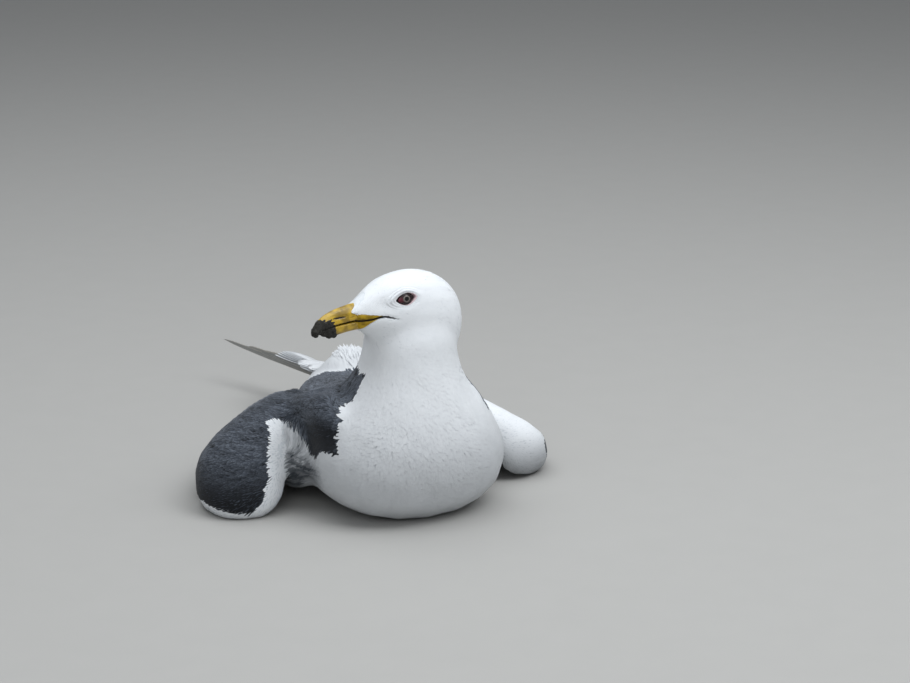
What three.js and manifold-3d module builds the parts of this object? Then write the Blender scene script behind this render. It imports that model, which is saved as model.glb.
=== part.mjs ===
// A slaty-backed gull resting on its belly, life size, as a still museum model.
// Millimetres, +Z up. The breast points to -Y and the bird's left side is +X. The wings are half
// dropped, with both wrists on the floor, and the head is turned to the bird's right.
import * as THREE from "three";
import { mergeVertices } from "three/addons/utils/BufferGeometryUtils.js";
import Module from "manifold-3d";

const wasm = await Module();
wasm.setup();

// ---------------------------------------------------------------- driving dimensions
const GAP = 0.4; // clearance between two pieces that meet
const QUILL_GAP = 1.2; // clearance round the primaries where they come out from under the wing
const BODY_HALF_WIDTH = 83; // trunk at the shoulders, over the feathers
const BACK_HEIGHT = 106; // top of the mantle above the floor
const NECK_RADIUS = 37.5;
const NECK_CENTRE_Y = -74;
const NECK_BASE = { height: 128, tilt: 0.3 }; // where the neck ends and the trunk begins
const HEAD_YAW = 78; // degrees that the head is turned to the bird's right
const HEAD_HEIGHT = 180; // height of the line from nape to mouth above the floor
const EYE_RADIUS = 7.4;
const EYE_PLACE = [18, 17, 11.8]; // from the head's origin: forward, to its side, up
const TAIL_ROOT = [22, 148, 66];
const TAIL_TIP = [27, 258, 48];
const TAIL_ROLL = 4; // how far the right edge of the tail stands above its middle
const TAIL_ROOT_WIDTH = 44;
const TAIL_TIP_WIDTH = 54;
const EDGE_HALF = 0.35; // half the thickness of a feathered edge
const HEEL = [24, 112, 6.5]; // a heel: out from the midline, back, up
const TOE_BASE = [27, 50, 4.5]; // where the toes meet the shank
const SHANK_RADIUS = 4.4;

const V = (x, y, z) => new THREE.Vector3(x, y, z);
const clamp = THREE.MathUtils.clamp;
const lerp = THREE.MathUtils.lerp;
const curve = (points) => new THREE.CatmullRomCurve3(points.map((p) => V(...p)));

// ---------------------------------------------------------------- meshes
/** A geometry from points and triangles, turned so that its faces point out. */
function geometryOf(points, faces) {
  let volume = 0;
  for (const [a, b, c] of faces) volume += points[a].dot(V(0, 0, 0).crossVectors(points[b], points[c]));
  const geometry = new THREE.BufferGeometry().setFromPoints(points);
  geometry.setIndex(faces.flatMap(([a, b, c]) => (volume < 0 ? [a, c, b] : [a, b, c])));
  return geometry;
}

/** A closed geometry through rings of equally many points, with a fan over each end. */
function loft(rings) {
  const count = rings[0].length;
  const points = rings.flat();
  const faces = [];
  for (let r = 0; r + 1 < rings.length; r++)
    for (let i = 0; i < count; i++) {
      const [a, b] = [r * count + i, r * count + ((i + 1) % count)];
      faces.push([a, b, b + count], [a, b + count, a + count]);
    }
  for (const first of [0, (rings.length - 1) * count]) {
    const centre = points.length;
    const middle = V(0, 0, 0);
    for (let i = 0; i < count; i++) middle.addScaledVector(points[first + i], 1 / count);
    points.push(middle);
    for (let i = 0; i < count; i++) {
      const [a, b] = [first + i, first + ((i + 1) % count)];
      faces.push(first === 0 ? [b, a, centre] : [a, b, centre]);
    }
  }
  return geometryOf(points, faces);
}

/** A ring of points between a top and a bottom, widest at a share of the way up. */
function ring(top, bottom, halfWidth, widestAt, side, count, squareness) {
  const upright = top.clone().sub(bottom);
  const height = upright.length();
  upright.normalize();
  const middle = bottom.clone().addScaledVector(upright, height * widestAt);
  const power = 2 / squareness;
  const points = [];
  for (let i = 0; i < count; i++) {
    const turn = (2 * Math.PI * i) / count;
    const [c, s] = [Math.cos(turn), Math.sin(turn)];
    const reach = c > 0 ? height * (1 - widestAt) : height * widestAt;
    const rise = Math.sign(c) * Math.abs(c) ** power * reach;
    const out = Math.sign(s) * Math.abs(s) ** power * halfWidth;
    points.push(middle.clone().addScaledVector(upright, rise).addScaledVector(side, out));
  }
  return points;
}

/** A thick curved panel: half(s, t) is its thickness on the side of the normal and on the other side. */
function panel(sheet, half, across, along) {
  const points = [];
  const step = 1e-3;
  for (const side of [0, 1])
    for (let i = 0; i <= across; i++)
      for (let j = 0; j <= along; j++) {
        const [s, t] = [i / across, j / along];
        const ds = sheet(Math.min(s + step, 1), t).sub(sheet(Math.max(s - step, 0), t));
        const dt = sheet(s, Math.min(t + step, 1)).sub(sheet(s, Math.max(t - step, 0)));
        const normal = ds.cross(dt).normalize();
        const offset = side ? -half(s, t)[1] : half(s, t)[0];
        points.push(sheet(s, t).addScaledVector(normal, offset));
      }
  const row = along + 1;
  const layer = (across + 1) * row;
  const faces = [];
  for (let i = 0; i < across; i++)
    for (let j = 0; j < along; j++) {
      const k = i * row + j;
      const [a, b, c, d] = [k, k + 1, k + row + 1, k + row];
      faces.push([a, b, c], [a, c, d]);
      faces.push([a + layer, c + layer, b + layer], [a + layer, d + layer, c + layer]);
    }
  const wall = (a, b) => faces.push([a, a + layer, b + layer], [a, b + layer, b]);
  for (let j = 0; j < along; j++) {
    wall(j, j + 1);
    wall(across * row + j + 1, across * row + j);
  }
  for (let i = 0; i < across; i++) {
    wall((i + 1) * row, i * row);
    wall(i * row + along, (i + 1) * row + along);
  }
  return geometryOf(points, faces);
}

/** Reads a table of rows at any place from 0 to 1, through a smooth cubic. */
function reader(rows) {
  const size = rows[0].length;
  const places = Float32Array.from(rows, (_, i) => i);
  const values = Float32Array.from(rows.flat());
  const table = new THREE.CubicInterpolant(places, values, size, new Float32Array(size));
  return (at) => Array.from(table.evaluate(at * (rows.length - 1)));
}

// ---------------------------------------------------------------- solids
/** A three.js geometry as a solid that can be cut and joined. */
function solid(geometry) {
  const plain = geometry.clone();
  plain.deleteAttribute("normal");
  plain.deleteAttribute("uv");
  const merged = mergeVertices(plain, 1e-4);
  const vertProperties = merged.attributes.position.array;
  const triVerts = new Uint32Array(merged.index.array);
  return new wasm.Manifold(new wasm.Mesh({ numProp: 3, vertProperties, triVerts }));
}

/** The geometry of a solid. */
function geometryFrom(shape) {
  const mesh = shape.getMesh();
  const positions = new Float32Array(mesh.numVert * 3);
  for (let i = 0; i < mesh.numVert; i++)
    positions.set(mesh.vertProperties.subarray(i * mesh.numProp, i * mesh.numProp + 3), i * 3);
  const geometry = new THREE.BufferGeometry();
  geometry.setAttribute("position", new THREE.BufferAttribute(positions, 3));
  geometry.setIndex(new THREE.BufferAttribute(mesh.triVerts, 1));
  return geometry;
}

/** The bodies of a shape, largest first: a grazing cut can leave crumbs. */
const bodies = (shape) => shape.decompose().sort((a, b) => b.volume() - a.volume());
const largest = (shape) => bodies(shape)[0];

/** A block given by its centre, size and tilt about X. */
function block(centre, size, tilt = 0) {
  const geometry = new THREE.BoxGeometry(...size);
  geometry.rotateX(tilt);
  geometry.translate(...centre);
  return solid(geometry);
}

/** An ellipsoid given by its centre, radii and turns, grown all round by a clearance. */
function egg(centre, radii, turns, grow) {
  const geometry = new THREE.SphereGeometry(1, 14, 8);
  geometry.scale(...radii.map((radius) => radius + grow));
  geometry.applyQuaternion(new THREE.Quaternion().setFromEuler(new THREE.Euler(...turns)));
  geometry.translate(...centre);
  return solid(geometry);
}

const UNDER_FLOOR = block([0, 100, -100], [1000, 1200, 200]);

// ---------------------------------------------------------------- trunk and neck
// From the tail's root to the top of the neck: the back's x, y and z, the belly's x, y and z, half
// width, and how far up its widest part lies. The rump swings to the bird's left.
const TRUNK_ROWS = [
  [24, 170, 64, 23, 162, 49, 14, 0.5],
  [21, 140, 70, 20, 130, 35, 32, 0.5],
  [16, 104, 77, 16, 94, 20, 54, 0.48],
  [10, 64, 84, 12, 55, 6, 70, 0.45],
  [5, 28, 92, 9, 12, -3, 79, 0.43],
  [1, -4, BACK_HEIGHT - 4, 8, -38, -4, BODY_HALF_WIDTH, 0.42],
  [0, -23, BACK_HEIGHT + 6, 7, -86, -2, BODY_HALF_WIDTH, 0.42],
  [0, -32, BACK_HEIGHT + 16, 6, -115, 17, 78, 0.42],
  [0, -36, BACK_HEIGHT + 24, 4, -125, 55, 62, 0.44],
  [0, -37, BACK_HEIGHT + 34, 1, -119, 96, 46, 0.47],
  [0, -37, BACK_HEIGHT + 45, 0, -112, 132, 38.5, 0.5],
  [0, -42, BACK_HEIGHT + 64, 0, -109, 162, NECK_RADIUS - 1, 0.5],
  [0, -54, BACK_HEIGHT + 80, 0, -96, 186, NECK_RADIUS - 14, 0.5],
];
const TRUNK_SQUARENESS = 2.15;
const RUMP = { centre: [24, 122, 76], radii: [22, 28, 17], tilt: -0.2 }; // ruffled rump feathers

/** The trunk and neck in one, grown all round by a clearance. */
function trunkAndNeck(grow) {
  const read = reader(TRUNK_ROWS);
  const [ringCount, sides] = [19, 20];
  const rings = [];
  for (let i = 0; i <= ringCount; i++) {
    const row = read(i / ringCount);
    const [top, bottom] = [V(...row.slice(0, 3)), V(...row.slice(3, 6))];
    const [halfWidth, widestAt] = row.slice(6);
    const upright = top.clone().sub(bottom).normalize();
    top.addScaledVector(upright, grow);
    bottom.addScaledVector(upright, -grow);
    rings.push(ring(top, bottom, halfWidth + grow, widestAt, V(1, 0, 0), sides, TRUNK_SQUARENESS));
  }
  const rump = egg(RUMP.centre, RUMP.radii, [RUMP.tilt, 0, 0], grow);
  return solid(loft(rings)).add(rump);
}

// ---------------------------------------------------------------- head
// The head's own frame: x forward along the bill, y to the head's left, z up.
const HEAD_TURN = new THREE.Matrix4()
  .makeTranslation(0, NECK_CENTRE_Y, HEAD_HEIGHT)
  .multiply(new THREE.Matrix4().makeRotationZ(THREE.MathUtils.degToRad(-90 - HEAD_YAW)));
const inHead = (geometry) => geometry.applyMatrix4(HEAD_TURN);

// Forward, height of the crown, height of the jaw, half width.
const HEAD_ROWS = [
  [-42.5, -3, -15, 6],
  [-39.5, 8, -32, 18],
  [-31, 19, -46, 28],
  [-18, 26.8, -50, 31.5],
  [-2, 30.5, -48, 31.5],
  [14, 29.8, -41, 28.2],
  [27, 27, -31, 23.5],
  [39, 21.6, -21, 17.6],
  [49, 15.4, -13.6, 12],
  [57, 11, -9.6, 8.4],
];

function skull(grow) {
  const read = reader(HEAD_ROWS);
  const [ringCount, sides] = [13, 18];
  const rings = [];
  for (let i = 0; i <= ringCount; i++) {
    const [x, crown, jaw, halfWidth] = read(i / ringCount);
    const [top, bottom] = [V(x, 0, crown + grow), V(x, 0, jaw - grow)];
    rings.push(ring(top, bottom, halfWidth + grow, 0.5, V(0, 1, 0), sides, 2.1));
  }
  return solid(inHead(loft(rings)));
}

/** Height of the mouth line at a distance along the bill. */
const mouthLine = (x) => -1.8 - 0.001 * Math.max(0, x - 30) ** 2;

// Each half of the bill: forward, height of its outer edge, half width.
const BILL_UPPER_ROWS = [
  [36, 13.4, 8.4],
  [48, 12.6, 8.3],
  [58, 11.5, 7.4],
  [68, 10.2, 6.4],
  [77, 8.4, 5.7],
  [85, 5.4, 5],
  [91, 1.4, 4],
  [94.2, -3.4, 2.4],
];
const BILL_LOWER_ROWS = [
  [36, -12, 8],
  [50, -11.4, 7.2],
  [62, -11.6, 6],
  [73, -12.8, 5],
  [80, -12.4, 4.2],
  [85, -10.4, 3.2],
  [89, -8, 1.6],
];
const HOOK_START = 89; // the upper half bends down past the lower half's tip from here

function billHalf(rows, isUpper) {
  const read = reader(rows);
  const [ringCount, sides] = [14, 12];
  const rings = [];
  for (let i = 0; i <= ringCount; i++) {
    const [x, edge, halfWidth] = read(i / ringCount);
    const hook = isUpper ? Math.max(0, x - HOOK_START) * 0.9 : 0;
    const seam = mouthLine(x) + (isUpper ? GAP / 2 : -GAP / 2) - hook;
    const [top, bottom] = isUpper ? [edge, seam] : [seam, edge];
    const widestAt = isUpper ? 0.14 : 0.86;
    rings.push(ring(V(x, 0, top), V(x, 0, bottom), halfWidth, widestAt, V(0, 1, 0), sides, 2));
  }
  return solid(inHead(loft(rings)));
}

function eyeBall(side, grow) {
  const geometry = new THREE.SphereGeometry(EYE_RADIUS + grow, 12, 8);
  const [forward, out, up] = EYE_PLACE;
  geometry.translate(forward, side * out, up);
  return solid(inHead(geometry));
}

// ---------------------------------------------------------------- wings
// Ribs from the leading edge back to the trailing edge, each from the shoulder down to the floor:
// distance out from the midline, y, z.
const RIGHT_RIBS = [
  [[77, 2, 76], [87, -20, 46], [98, -33, 17], [112, -34, -1]],
  [[66, 4, 87], [117, -18, 65], [141, -27, 31], [142, -27, -2]],
  [[60, 20, 90], [118, 10, 69], [154, -2, 38], [153, -2, -2]],
  [[54, 50, 81], [106, 44, 61], [140, 44, 30], [140, 46, -2]],
  [[48, 86, 60], [84, 90, 42], [108, 98, 20], [113, 104, 1]],
  [[42, 122, 44], [62, 130, 30], [78, 142, 14], [83, 150, 3]],
  [[34, 166, 28], [44, 177, 19], [54, 182, 10], [60, 176, 5]],
];
const LEFT_RIBS = [
  [[76, -20, 62], [91, -32, 43], [100, -38, 22], [107, -36, 7]],
  [[72, -10, 75], [113, -28, 49], [140, -32, 24], [134, -30, 0]],
  [[66, 12, 80], [116, 0, 50], [154, -4, 22], [152, 0, -2]],
  [[60, 48, 76], [108, 44, 48], [143, 48, 22], [144, 52, -2]],
  [[56, 86, 68], [94, 92, 45], [118, 100, 23], [122, 106, 4]],
  [[53, 122, 58], [76, 134, 41], [91, 146, 26], [95, 156, 15]],
  [[49, 166, 47], [60, 180, 38], [70, 186, 29], [75, 180, 24]],
];
const ARM_SHARE = 0.62; // share of the chord that the arm and its coverts take
const FLIGHT_SHARE = ARM_SHARE + 0.003; // the secondaries start just behind it
const OUTER_DEPTH = 7; // from the mid surface to the outer face, where the wing is thickest
const INNER_DEPTH = 9;

/** The wing's mid surface: s from shoulder to floor, t from leading to trailing edge. */
function wingSheet(ribs, side) {
  const curves = ribs.map(curve);
  return (s, t) => {
    const across = new THREE.CatmullRomCurve3(curves.map((rib) => rib.getPoint(s)));
    const point = across.getPoint(t);
    point.x *= side;
    return point;
  };
}

/** Rises from 0 at an edge to 1 at a given distance from it, as a round edge does. */
const roundEdge = (at, reach) => Math.sqrt(1 - (1 - clamp(at / reach, 0, 1)) ** 2);

/** Half thicknesses of the wing on its outer and its inner side. */
function wingThickness(grow) {
  return (s, t) => {
    const shape = roundEdge(t, 0.1) * roundEdge(s, 0.15) * roundEdge(1 - s, 0.12) * (1 - 0.8 * t ** 1.5);
    return [OUTER_DEPTH, INNER_DEPTH].map((full) => Math.max(EDGE_HALF, full * shape) + grow);
  };
}

/** A stretch of the wing's panel between two shares of its chord. */
function wingPart(ribs, side, from, to, grow, along) {
  const sheet = wingSheet(ribs, side);
  const thickness = wingThickness(grow);
  const stretch = (t) => lerp(from, to, t);
  const half = (s, t) => {
    const [a, b] = thickness(s, stretch(t));
    return side > 0 ? [a, b] : [b, a];
  };
  return solid(panel((s, t) => sheet(s, stretch(t)), half, 8, along));
}

/** The long primaries as one tapering blade, from the hand to the tip along its lowest feather. */
function primaryBlade(root, tip, lean, rootWidth) {
  const [from, to] = [V(...root), V(...tip)];
  const upward = V(...lean).normalize();
  const sheet = (s, t) => {
    const width = Math.max(1.2, rootWidth * (1 - t) ** 0.9 * (1 - 0.25 * t));
    const point = from.clone().lerp(to, t);
    return point.addScaledVector(upward, width * (1 - s));
  };
  const half = (s, t) => {
    const full = lerp(3.2, 0.8, t) * roundEdge(s, 0.2) * roundEdge(1 - s, 0.4);
    const thickness = Math.max(EDGE_HALF, full);
    return [thickness, thickness];
  };
  return solid(panel(sheet, half, 4, 12));
}

// ---------------------------------------------------------------- tail
/** The closed fan of tail feathers. */
function tailFan() {
  const [root, tip] = [V(...TAIL_ROOT), V(...TAIL_TIP)];
  const sheet = (s, t) => {
    const width = lerp(TAIL_ROOT_WIDTH, TAIL_TIP_WIDTH, Math.sqrt(t));
    const across = (s - 0.5) * 2;
    const point = root.clone().lerp(tip, t * (1 - 0.1 * across ** 2));
    point.x += (across * width) / 2;
    point.z -= 3.5 * across ** 2 + TAIL_ROLL * across;
    return point;
  };
  const half = (s, t) => {
    const full = lerp(4.5, 1, t) * roundEdge(s, 0.25) * roundEdge(1 - s, 0.25);
    return [Math.max(EDGE_HALF, full), Math.max(EDGE_HALF, full)];
  };
  return solid(panel(sheet, half, 8, 7));
}

// ---------------------------------------------------------------- legs
const TOES = [
  { turn: -24, length: 43 },
  { turn: -1, length: 55 },
  { turn: 22, length: 49 },
];
const TOE_RADIUS = 3;
const WEB_THICKNESS = 2.2;
const HIND_TOE = { turn: 155, length: 10 };

/** A tapering round limb between two points. */
function limb(from, to, fromRadius, toRadius) {
  const axis = V(...to).sub(V(...from));
  const length = axis.length();
  const profile = [];
  const steps = 2;
  for (let i = 0; i <= steps; i++) {
    const turn = (Math.PI / 2) * (i / steps);
    profile.push([fromRadius * Math.sin(turn), -fromRadius * Math.cos(turn)]);
  }
  for (let i = 0; i <= steps; i++) {
    const turn = (Math.PI / 2) * (i / steps);
    profile.push([toRadius * Math.cos(turn), length + toRadius * Math.sin(turn)]);
  }
  profile[0][0] = 0;
  profile[profile.length - 1][0] = 0;
  const geometry = new THREE.LatheGeometry(profile.map((p) => new THREE.Vector2(...p)), 6);
  geometry.applyQuaternion(new THREE.Quaternion().setFromUnitVectors(V(0, 1, 0), axis.normalize()));
  geometry.translate(...from);
  return solid(geometry);
}

/** A point in a foot at a turn and a distance forward from where the toes start. */
function footPoint(side, turn, reach, z) {
  const angle = THREE.MathUtils.degToRad(turn * side);
  return [side * TOE_BASE[0] + Math.sin(angle) * reach, TOE_BASE[1] - Math.cos(angle) * reach, z];
}

/** A webbed foot laid flat on the floor, toes forward, with its claws and small hind toe. */
function foot(side, grow) {
  const outline = new THREE.Shape();
  const start = footPoint(side, 180, 5 + grow, 0);
  outline.moveTo(start[0], start[1]);
  TOES.forEach(({ turn, length }, i) => {
    const tip = footPoint(side, turn, length - 3 + grow, 0);
    if (i === 0) outline.lineTo(tip[0], tip[1]);
    else {
      const hollow = footPoint(side, (turn + TOES[i - 1].turn) / 2, length * 0.78, 0);
      outline.quadraticCurveTo(hollow[0], hollow[1], tip[0], tip[1]);
    }
  });
  outline.closePath();
  const plate = { depth: WEB_THICKNESS + grow, bevelEnabled: false, curveSegments: 3 };
  let shape = solid(new THREE.ExtrudeGeometry(outline, plate));
  for (const { turn, length } of TOES) {
    const base = footPoint(side, turn, 0, TOE_RADIUS);
    const joint = footPoint(side, turn, length - 6, TOE_RADIUS * 0.8);
    const claw = footPoint(side, turn, length, 1.2);
    shape = shape.add(limb(base, joint, TOE_RADIUS + grow, TOE_RADIUS * 0.8 + grow));
    shape = shape.add(limb(joint, claw, 1.9 + grow, 0.8 + grow));
  }
  const hindTip = footPoint(side, HIND_TOE.turn, HIND_TOE.length, 2);
  shape = shape.add(limb(footPoint(side, 0, 0, TOE_RADIUS), hindTip, 2 + grow, 1.2 + grow));
  return shape.subtract(UNDER_FLOOR);
}

/** The bare shank, from the heel under the vent forward to the toes. */
function shank(side, grow) {
  const place = ([out, y, z]) => [side * out, y, z];
  return limb(place(HEEL), place(TOE_BASE), SHANK_RADIUS + 1.4 + grow, SHANK_RADIUS + grow);
}

// ---------------------------------------------------------------- the whole bird
const COLOURS = {
  white: ["#eff0f1", 0.85],
  mantle: ["#3c4149", 0.8],
  primary: ["#26282c", 0.7],
  bill: ["#d3a224", 0.4],
  eye: ["#a79a93", 0.15],
  leg: ["#d3a09c", 0.6],
};

const bird = new THREE.Group();

function add(name, shape, colour) {
  const [hex, roughness] = COLOURS[colour];
  const material = new THREE.MeshStandardMaterial({ color: hex, roughness, metalness: 0 });
  const mesh = new THREE.Mesh(geometryFrom(shape), material);
  mesh.name = name;
  bird.add(mesh);
}

const WINGS = [
  {
    name: "wing_right",
    side: -1,
    ribs: RIGHT_RIBS,
    shoulder: { centre: [62, -50, 78], radii: [17, 30, 39] },
    root: [-124, 31, 3],
    tip: [94, 303, 4],
    lean: [0.6, 0.2, 0.77],
    rootWidth: 58,
  },
  {
    name: "wing_left",
    side: 1,
    ribs: LEFT_RIBS,
    shoulder: { centre: [58, -10, 76], radii: [14, 28, 22] },
    root: [127, 40, 10],
    tip: [-12, 357, 40],
    lean: [-0.55, 0, 0.83],
    rootWidth: 54,
  },
];
const FEET = [
  { name: "right", side: -1 },
  { name: "left", side: 1 },
];

const fleshGrown = trunkAndNeck(GAP);
const skullGrown = skull(GAP);

let flesh = trunkAndNeck(0).subtract(UNDER_FLOOR).subtract(skullGrown);
for (const { side } of FEET) flesh = flesh.subtract(foot(side, GAP * 2)).subtract(shank(side, GAP * 2));
const neckCut = block([0, NECK_CENTRE_Y, NECK_BASE.height], [200, 200, GAP], NECK_BASE.tilt);
const [trunk, neck] = bodies(flesh.subtract(neckCut));
add("trunk", trunk, "white");
add("neck", neck, "white");

let face = skull(0);
for (const side of [1, -1]) face = face.subtract(eyeBall(side, GAP));
add("head", largest(face), "white");
add("bill_upper", largest(billHalf(BILL_UPPER_ROWS, true).subtract(skullGrown)), "bill");
add("bill_lower", largest(billHalf(BILL_LOWER_ROWS, false).subtract(skullGrown)), "bill");
add("eye_left", eyeBall(1, 0), "eye");
add("eye_right", eyeBall(-1, 0), "eye");
add("tail", largest(tailFan().subtract(fleshGrown)), "white");

for (const { name, side, ribs, shoulder, root, tip, lean, rootWidth } of WINGS) {
  const armOf = (grow) => wingPart(ribs, side, 0, ARM_SHARE, grow, 11);
  const flightOf = (grow) => wingPart(ribs, side, FLIGHT_SHARE, 1, grow, 6);
  const [out, ...yz] = shoulder.centre;
  const lobe = egg([side * out, ...yz], shoulder.radii, [0.3, side * 0.3, 0], 0);
  add(`${name}_shoulder`, largest(lobe.subtract(fleshGrown).subtract(armOf(GAP))), "mantle");
  const clear = (shape) => shape.subtract(fleshGrown).subtract(UNDER_FLOOR);
  const panels = [armOf(0), flightOf(0)];
  add(`${name}_arm`, largest(clear(panels[0])), "mantle");
  add(`${name}_secondaries`, largest(clear(panels[1])), "mantle");
  let blade = clear(primaryBlade(root, tip, lean, rootWidth));
  for (const cutter of [...panels, armOf(QUILL_GAP), flightOf(QUILL_GAP)]) blade = blade.subtract(cutter);
  add(`${name}_primaries`, largest(blade), "primary");
}

for (const { name, side } of FEET) {
  const webbed = foot(side, 0);
  add(`foot_${name}`, largest(webbed), "leg");
  add(`shank_${name}`, largest(shank(side, 0).subtract(foot(side, GAP)).subtract(UNDER_FLOOR)), "leg");
}

// The origin moves to the middle of the bird's outline on the floor.
const outline = new THREE.Box3().setFromObject(bird);
const middle = outline.getCenter(V(0, 0, 0));
bird.position.set(-middle.x, -middle.y, -outline.min.z);

export default bird;
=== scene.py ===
"""A slaty-backed gull resting on its belly, life size: skin, feathers, bill, eyes and legs."""

import math
from contextlib import contextmanager
from functools import partial

import bmesh
import bpy
import numpy as np
from mathutils import Matrix, Vector
from mathutils.bvhtree import BVHTree


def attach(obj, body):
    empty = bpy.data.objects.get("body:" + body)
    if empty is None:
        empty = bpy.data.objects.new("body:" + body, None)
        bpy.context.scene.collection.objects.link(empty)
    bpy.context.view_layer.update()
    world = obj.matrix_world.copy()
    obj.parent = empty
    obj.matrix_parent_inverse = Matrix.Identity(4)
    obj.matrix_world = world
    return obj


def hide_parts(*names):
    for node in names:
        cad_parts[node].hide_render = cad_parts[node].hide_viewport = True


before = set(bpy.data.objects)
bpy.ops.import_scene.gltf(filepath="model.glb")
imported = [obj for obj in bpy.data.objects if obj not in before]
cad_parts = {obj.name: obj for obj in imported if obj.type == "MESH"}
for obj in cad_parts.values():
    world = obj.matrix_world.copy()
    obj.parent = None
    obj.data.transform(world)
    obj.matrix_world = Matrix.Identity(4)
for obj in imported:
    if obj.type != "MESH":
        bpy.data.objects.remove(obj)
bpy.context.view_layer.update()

bl_info = {
    "name": "Resting gull",
    "version": (1, 0, 0),
    "blender": (4, 5, 0),
    "location": "View3D > Sidebar > Gull",
    "description": "Skin, feathers, bill, eyes and legs of a resting gull, built round its CAD frame",
    "category": "Object",
}

MM = 0.001
SIDES = {"right": -1, "left": 1}
FLESH = {
    "trunk": ("trunk", "neck"),
    "head": ("head", "eye_left", "eye_right"),
    "wing_right": ("wing_right_shoulder", "wing_right_arm", "wing_right_secondaries"),
    "wing_left": ("wing_left_shoulder", "wing_left_arm", "wing_left_secondaries"),
}

# The head's own frame: x forward along the bill, y to the head's left, z up.
HEAD_ORIGIN = np.array([0.36, -190.22, 180.0]) * MM
HEAD_YAW = math.radians(-90 - 78)
FORWARD = [math.cos(HEAD_YAW), math.sin(HEAD_YAW), 0]
HEAD_AXES = np.array([FORWARD, [-FORWARD[1], FORWARD[0], 0], [0, 0, 1]])
EYE_PLACE = np.array([18.5, 17.0, 12.6]) * MM  # of the left eye, in the head's frame
EYE_AXIS = np.array([0.22, 0.95, 0.2])  # where the left eye looks
LID_OPENING = 0.0028  # half the height between the lids
LID_FOLD = 0.00082  # radius of the lids' rim
LID_STRETCH = 1.78  # length of the lids over their height
LID_POINT = 1.55  # power of the lids' outline: 2 is an ellipse, 1 a rhomb
LID_TILT = 0.09  # rise of the lids' front corner over their length
LORAL_PLACE = np.array([63.8, 0.0, 4.6]) * MM  # foremost feathers beside the bill, in the head's frame
LORAL_SLOPE = np.array([0.640, 0.0, 0.768])  # across the line from there up to the culmen's root
# Lines in mm. The mouth, and the roof and back of the yellow flesh behind it, in the head's frame.
MOUTH = [(20, -4.5), (27, -2.4), (34, -0.2), (38, 0.5), (42, -0.3), (46.4, -1.7), (52, -2.3), (56, -2.5)]
MOUTH += [(78, -4.1)]
GAPE_ROOF = [(38, 1.4), (46, 2.6), (61, 4.2)]
GAPE_BACK = [(-11, 54), (-9, 51.5), (-5, 48), (-1.4, 42.5), (0.8, 38.5)]
# Height of the slate's lower edge along the back, and of the scapulars' hanging edge before the wing.
SLATE_FLOOR = [(-200, 66), (-193, 64.5), (-177, 60), (-158, 57), (-119, 68), (-90, 62), (-50, 46)]
HEM = [(-200, 64), (-182, 60.5), (-167, 57.5), (-153, 65), (-141.5, 74.5), (-124, 77.5), (-100, 200)]
# The white leading edge of the right wing up its height, and the wing's crown along it.
WING_BAND = [(0, -64), (6, -52), (15, -42), (30, -35.5), (78, -34.5)]
WING_CROWN = [(-120, 77), (-100, 75), (-70, 66), (-30, 44), (10, 18)]
# The middles and radii of soft bodies of flesh and plumage, in mm.
TUFT = ((33, 1, 84), (19, 27, 16))  # ruffled plumes over the tail
BEHIND_TUFT = ((29, 15, 78), (30, 34, 26))
MOUND = ((23, 1, 84), (23.75, 33.75, 20))
FLANK = ((-82, -138, 42), (24, 52, 40))  # loose plumes between breast and right wing
SHOULDER = ((-68, -150, 96), (32, 52, 30))  # scapulars over the right shoulder
KNOB = ((-68, -172, 112), (22, 36, 20))
# Where shade is painted on the slate under the right shoulder.
SHOULDER_SHADE = ((-68, -185, 66), (26, 34, 26))
NAPE = ((-38, 0, -4), (10, 20, 12))  # in the head's frame
# Flesh that carries the back over to each wing, with its fall to the rear in degrees.
SCAPULARS = [
    ((-57, -97, 75.5), (22, 50, 9), 22),
    ((-69, -139, 89), (16, 36, 13), 20),
    ((-50, -142, 96), (20, 30, 9), 16),
    ((62, -100, 81), (16, 26, 9), 22),
    ((62, -88, 71.5), (24, 48, 9), 14),
    ((-77, -130, 45), (12, 36, 19), 0),
    ((-77, -130, 66), (9, 22, 14), 0),
    ((-76, -116, 32), (20, 36, 20), 0),
]

# Lengths of the small feathers.
FACE_FEATHERS = (0.0022, 0.006)  # at the bill and at the nape
BODY_FEATHERS = (0.0065, 0.01)  # on the neck and on the body
WING_FEATHERS = (0.0045, 0.0105)  # at the wrist and at the rear of the wing
TUFT_PLUMES = 0.0105
FLANK_PLUMES = 0.0065

built = {}  # what one operator makes and the next one needs


# ---------------------------------------------------------------- numbers and colours
def linear(code):
    """An sRGB hex colour as linear RGB."""
    parts = [int(code[i : i + 2], 16) / 255 for i in (1, 3, 5)]
    return [((c + 0.055) / 1.055) ** 2.4 if c > 0.04045 else c / 12.92 for c in parts]


def unit(vectors):
    return vectors / np.maximum(np.linalg.norm(vectors, axis=-1, keepdims=True), 1e-12)


def flattened(vectors, normals):
    """Unit vectors along the surface that the normals stand on."""
    return unit(vectors - normals * (vectors * normals).sum(1, keepdims=True))


def ramp(values, low, high):
    """Rises smoothly from 0 at low to 1 at high."""
    t = np.clip((values - low) / (high - low), 0, 1)
    return t * t * (3 - 2 * t)


def inside(points, body, low, high):
    """Rises from 0 at low to 1 at high inside a soft body; its surface is at -1 and its middle at 0."""
    place, radii = np.array(body) * MM
    return ramp(-np.linalg.norm((points - place) / radii, axis=1), low, high)


def curve(line, at):
    """Reads a line whose points are in mm."""
    places, values = np.transpose(line) * MM
    return np.interp(at, places, values)


def bell(values, middle, width):
    """The square of how far values are off a middle, in widths: the exponent of a bell curve."""
    return ((values - middle) / width) ** 2


def to_head(points):
    """Points of the row's frame in the head's own."""
    return (points - HEAD_ORIGIN) @ HEAD_AXES.T


def from_head(points):
    return np.asarray(points) @ HEAD_AXES + HEAD_ORIGIN


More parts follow.
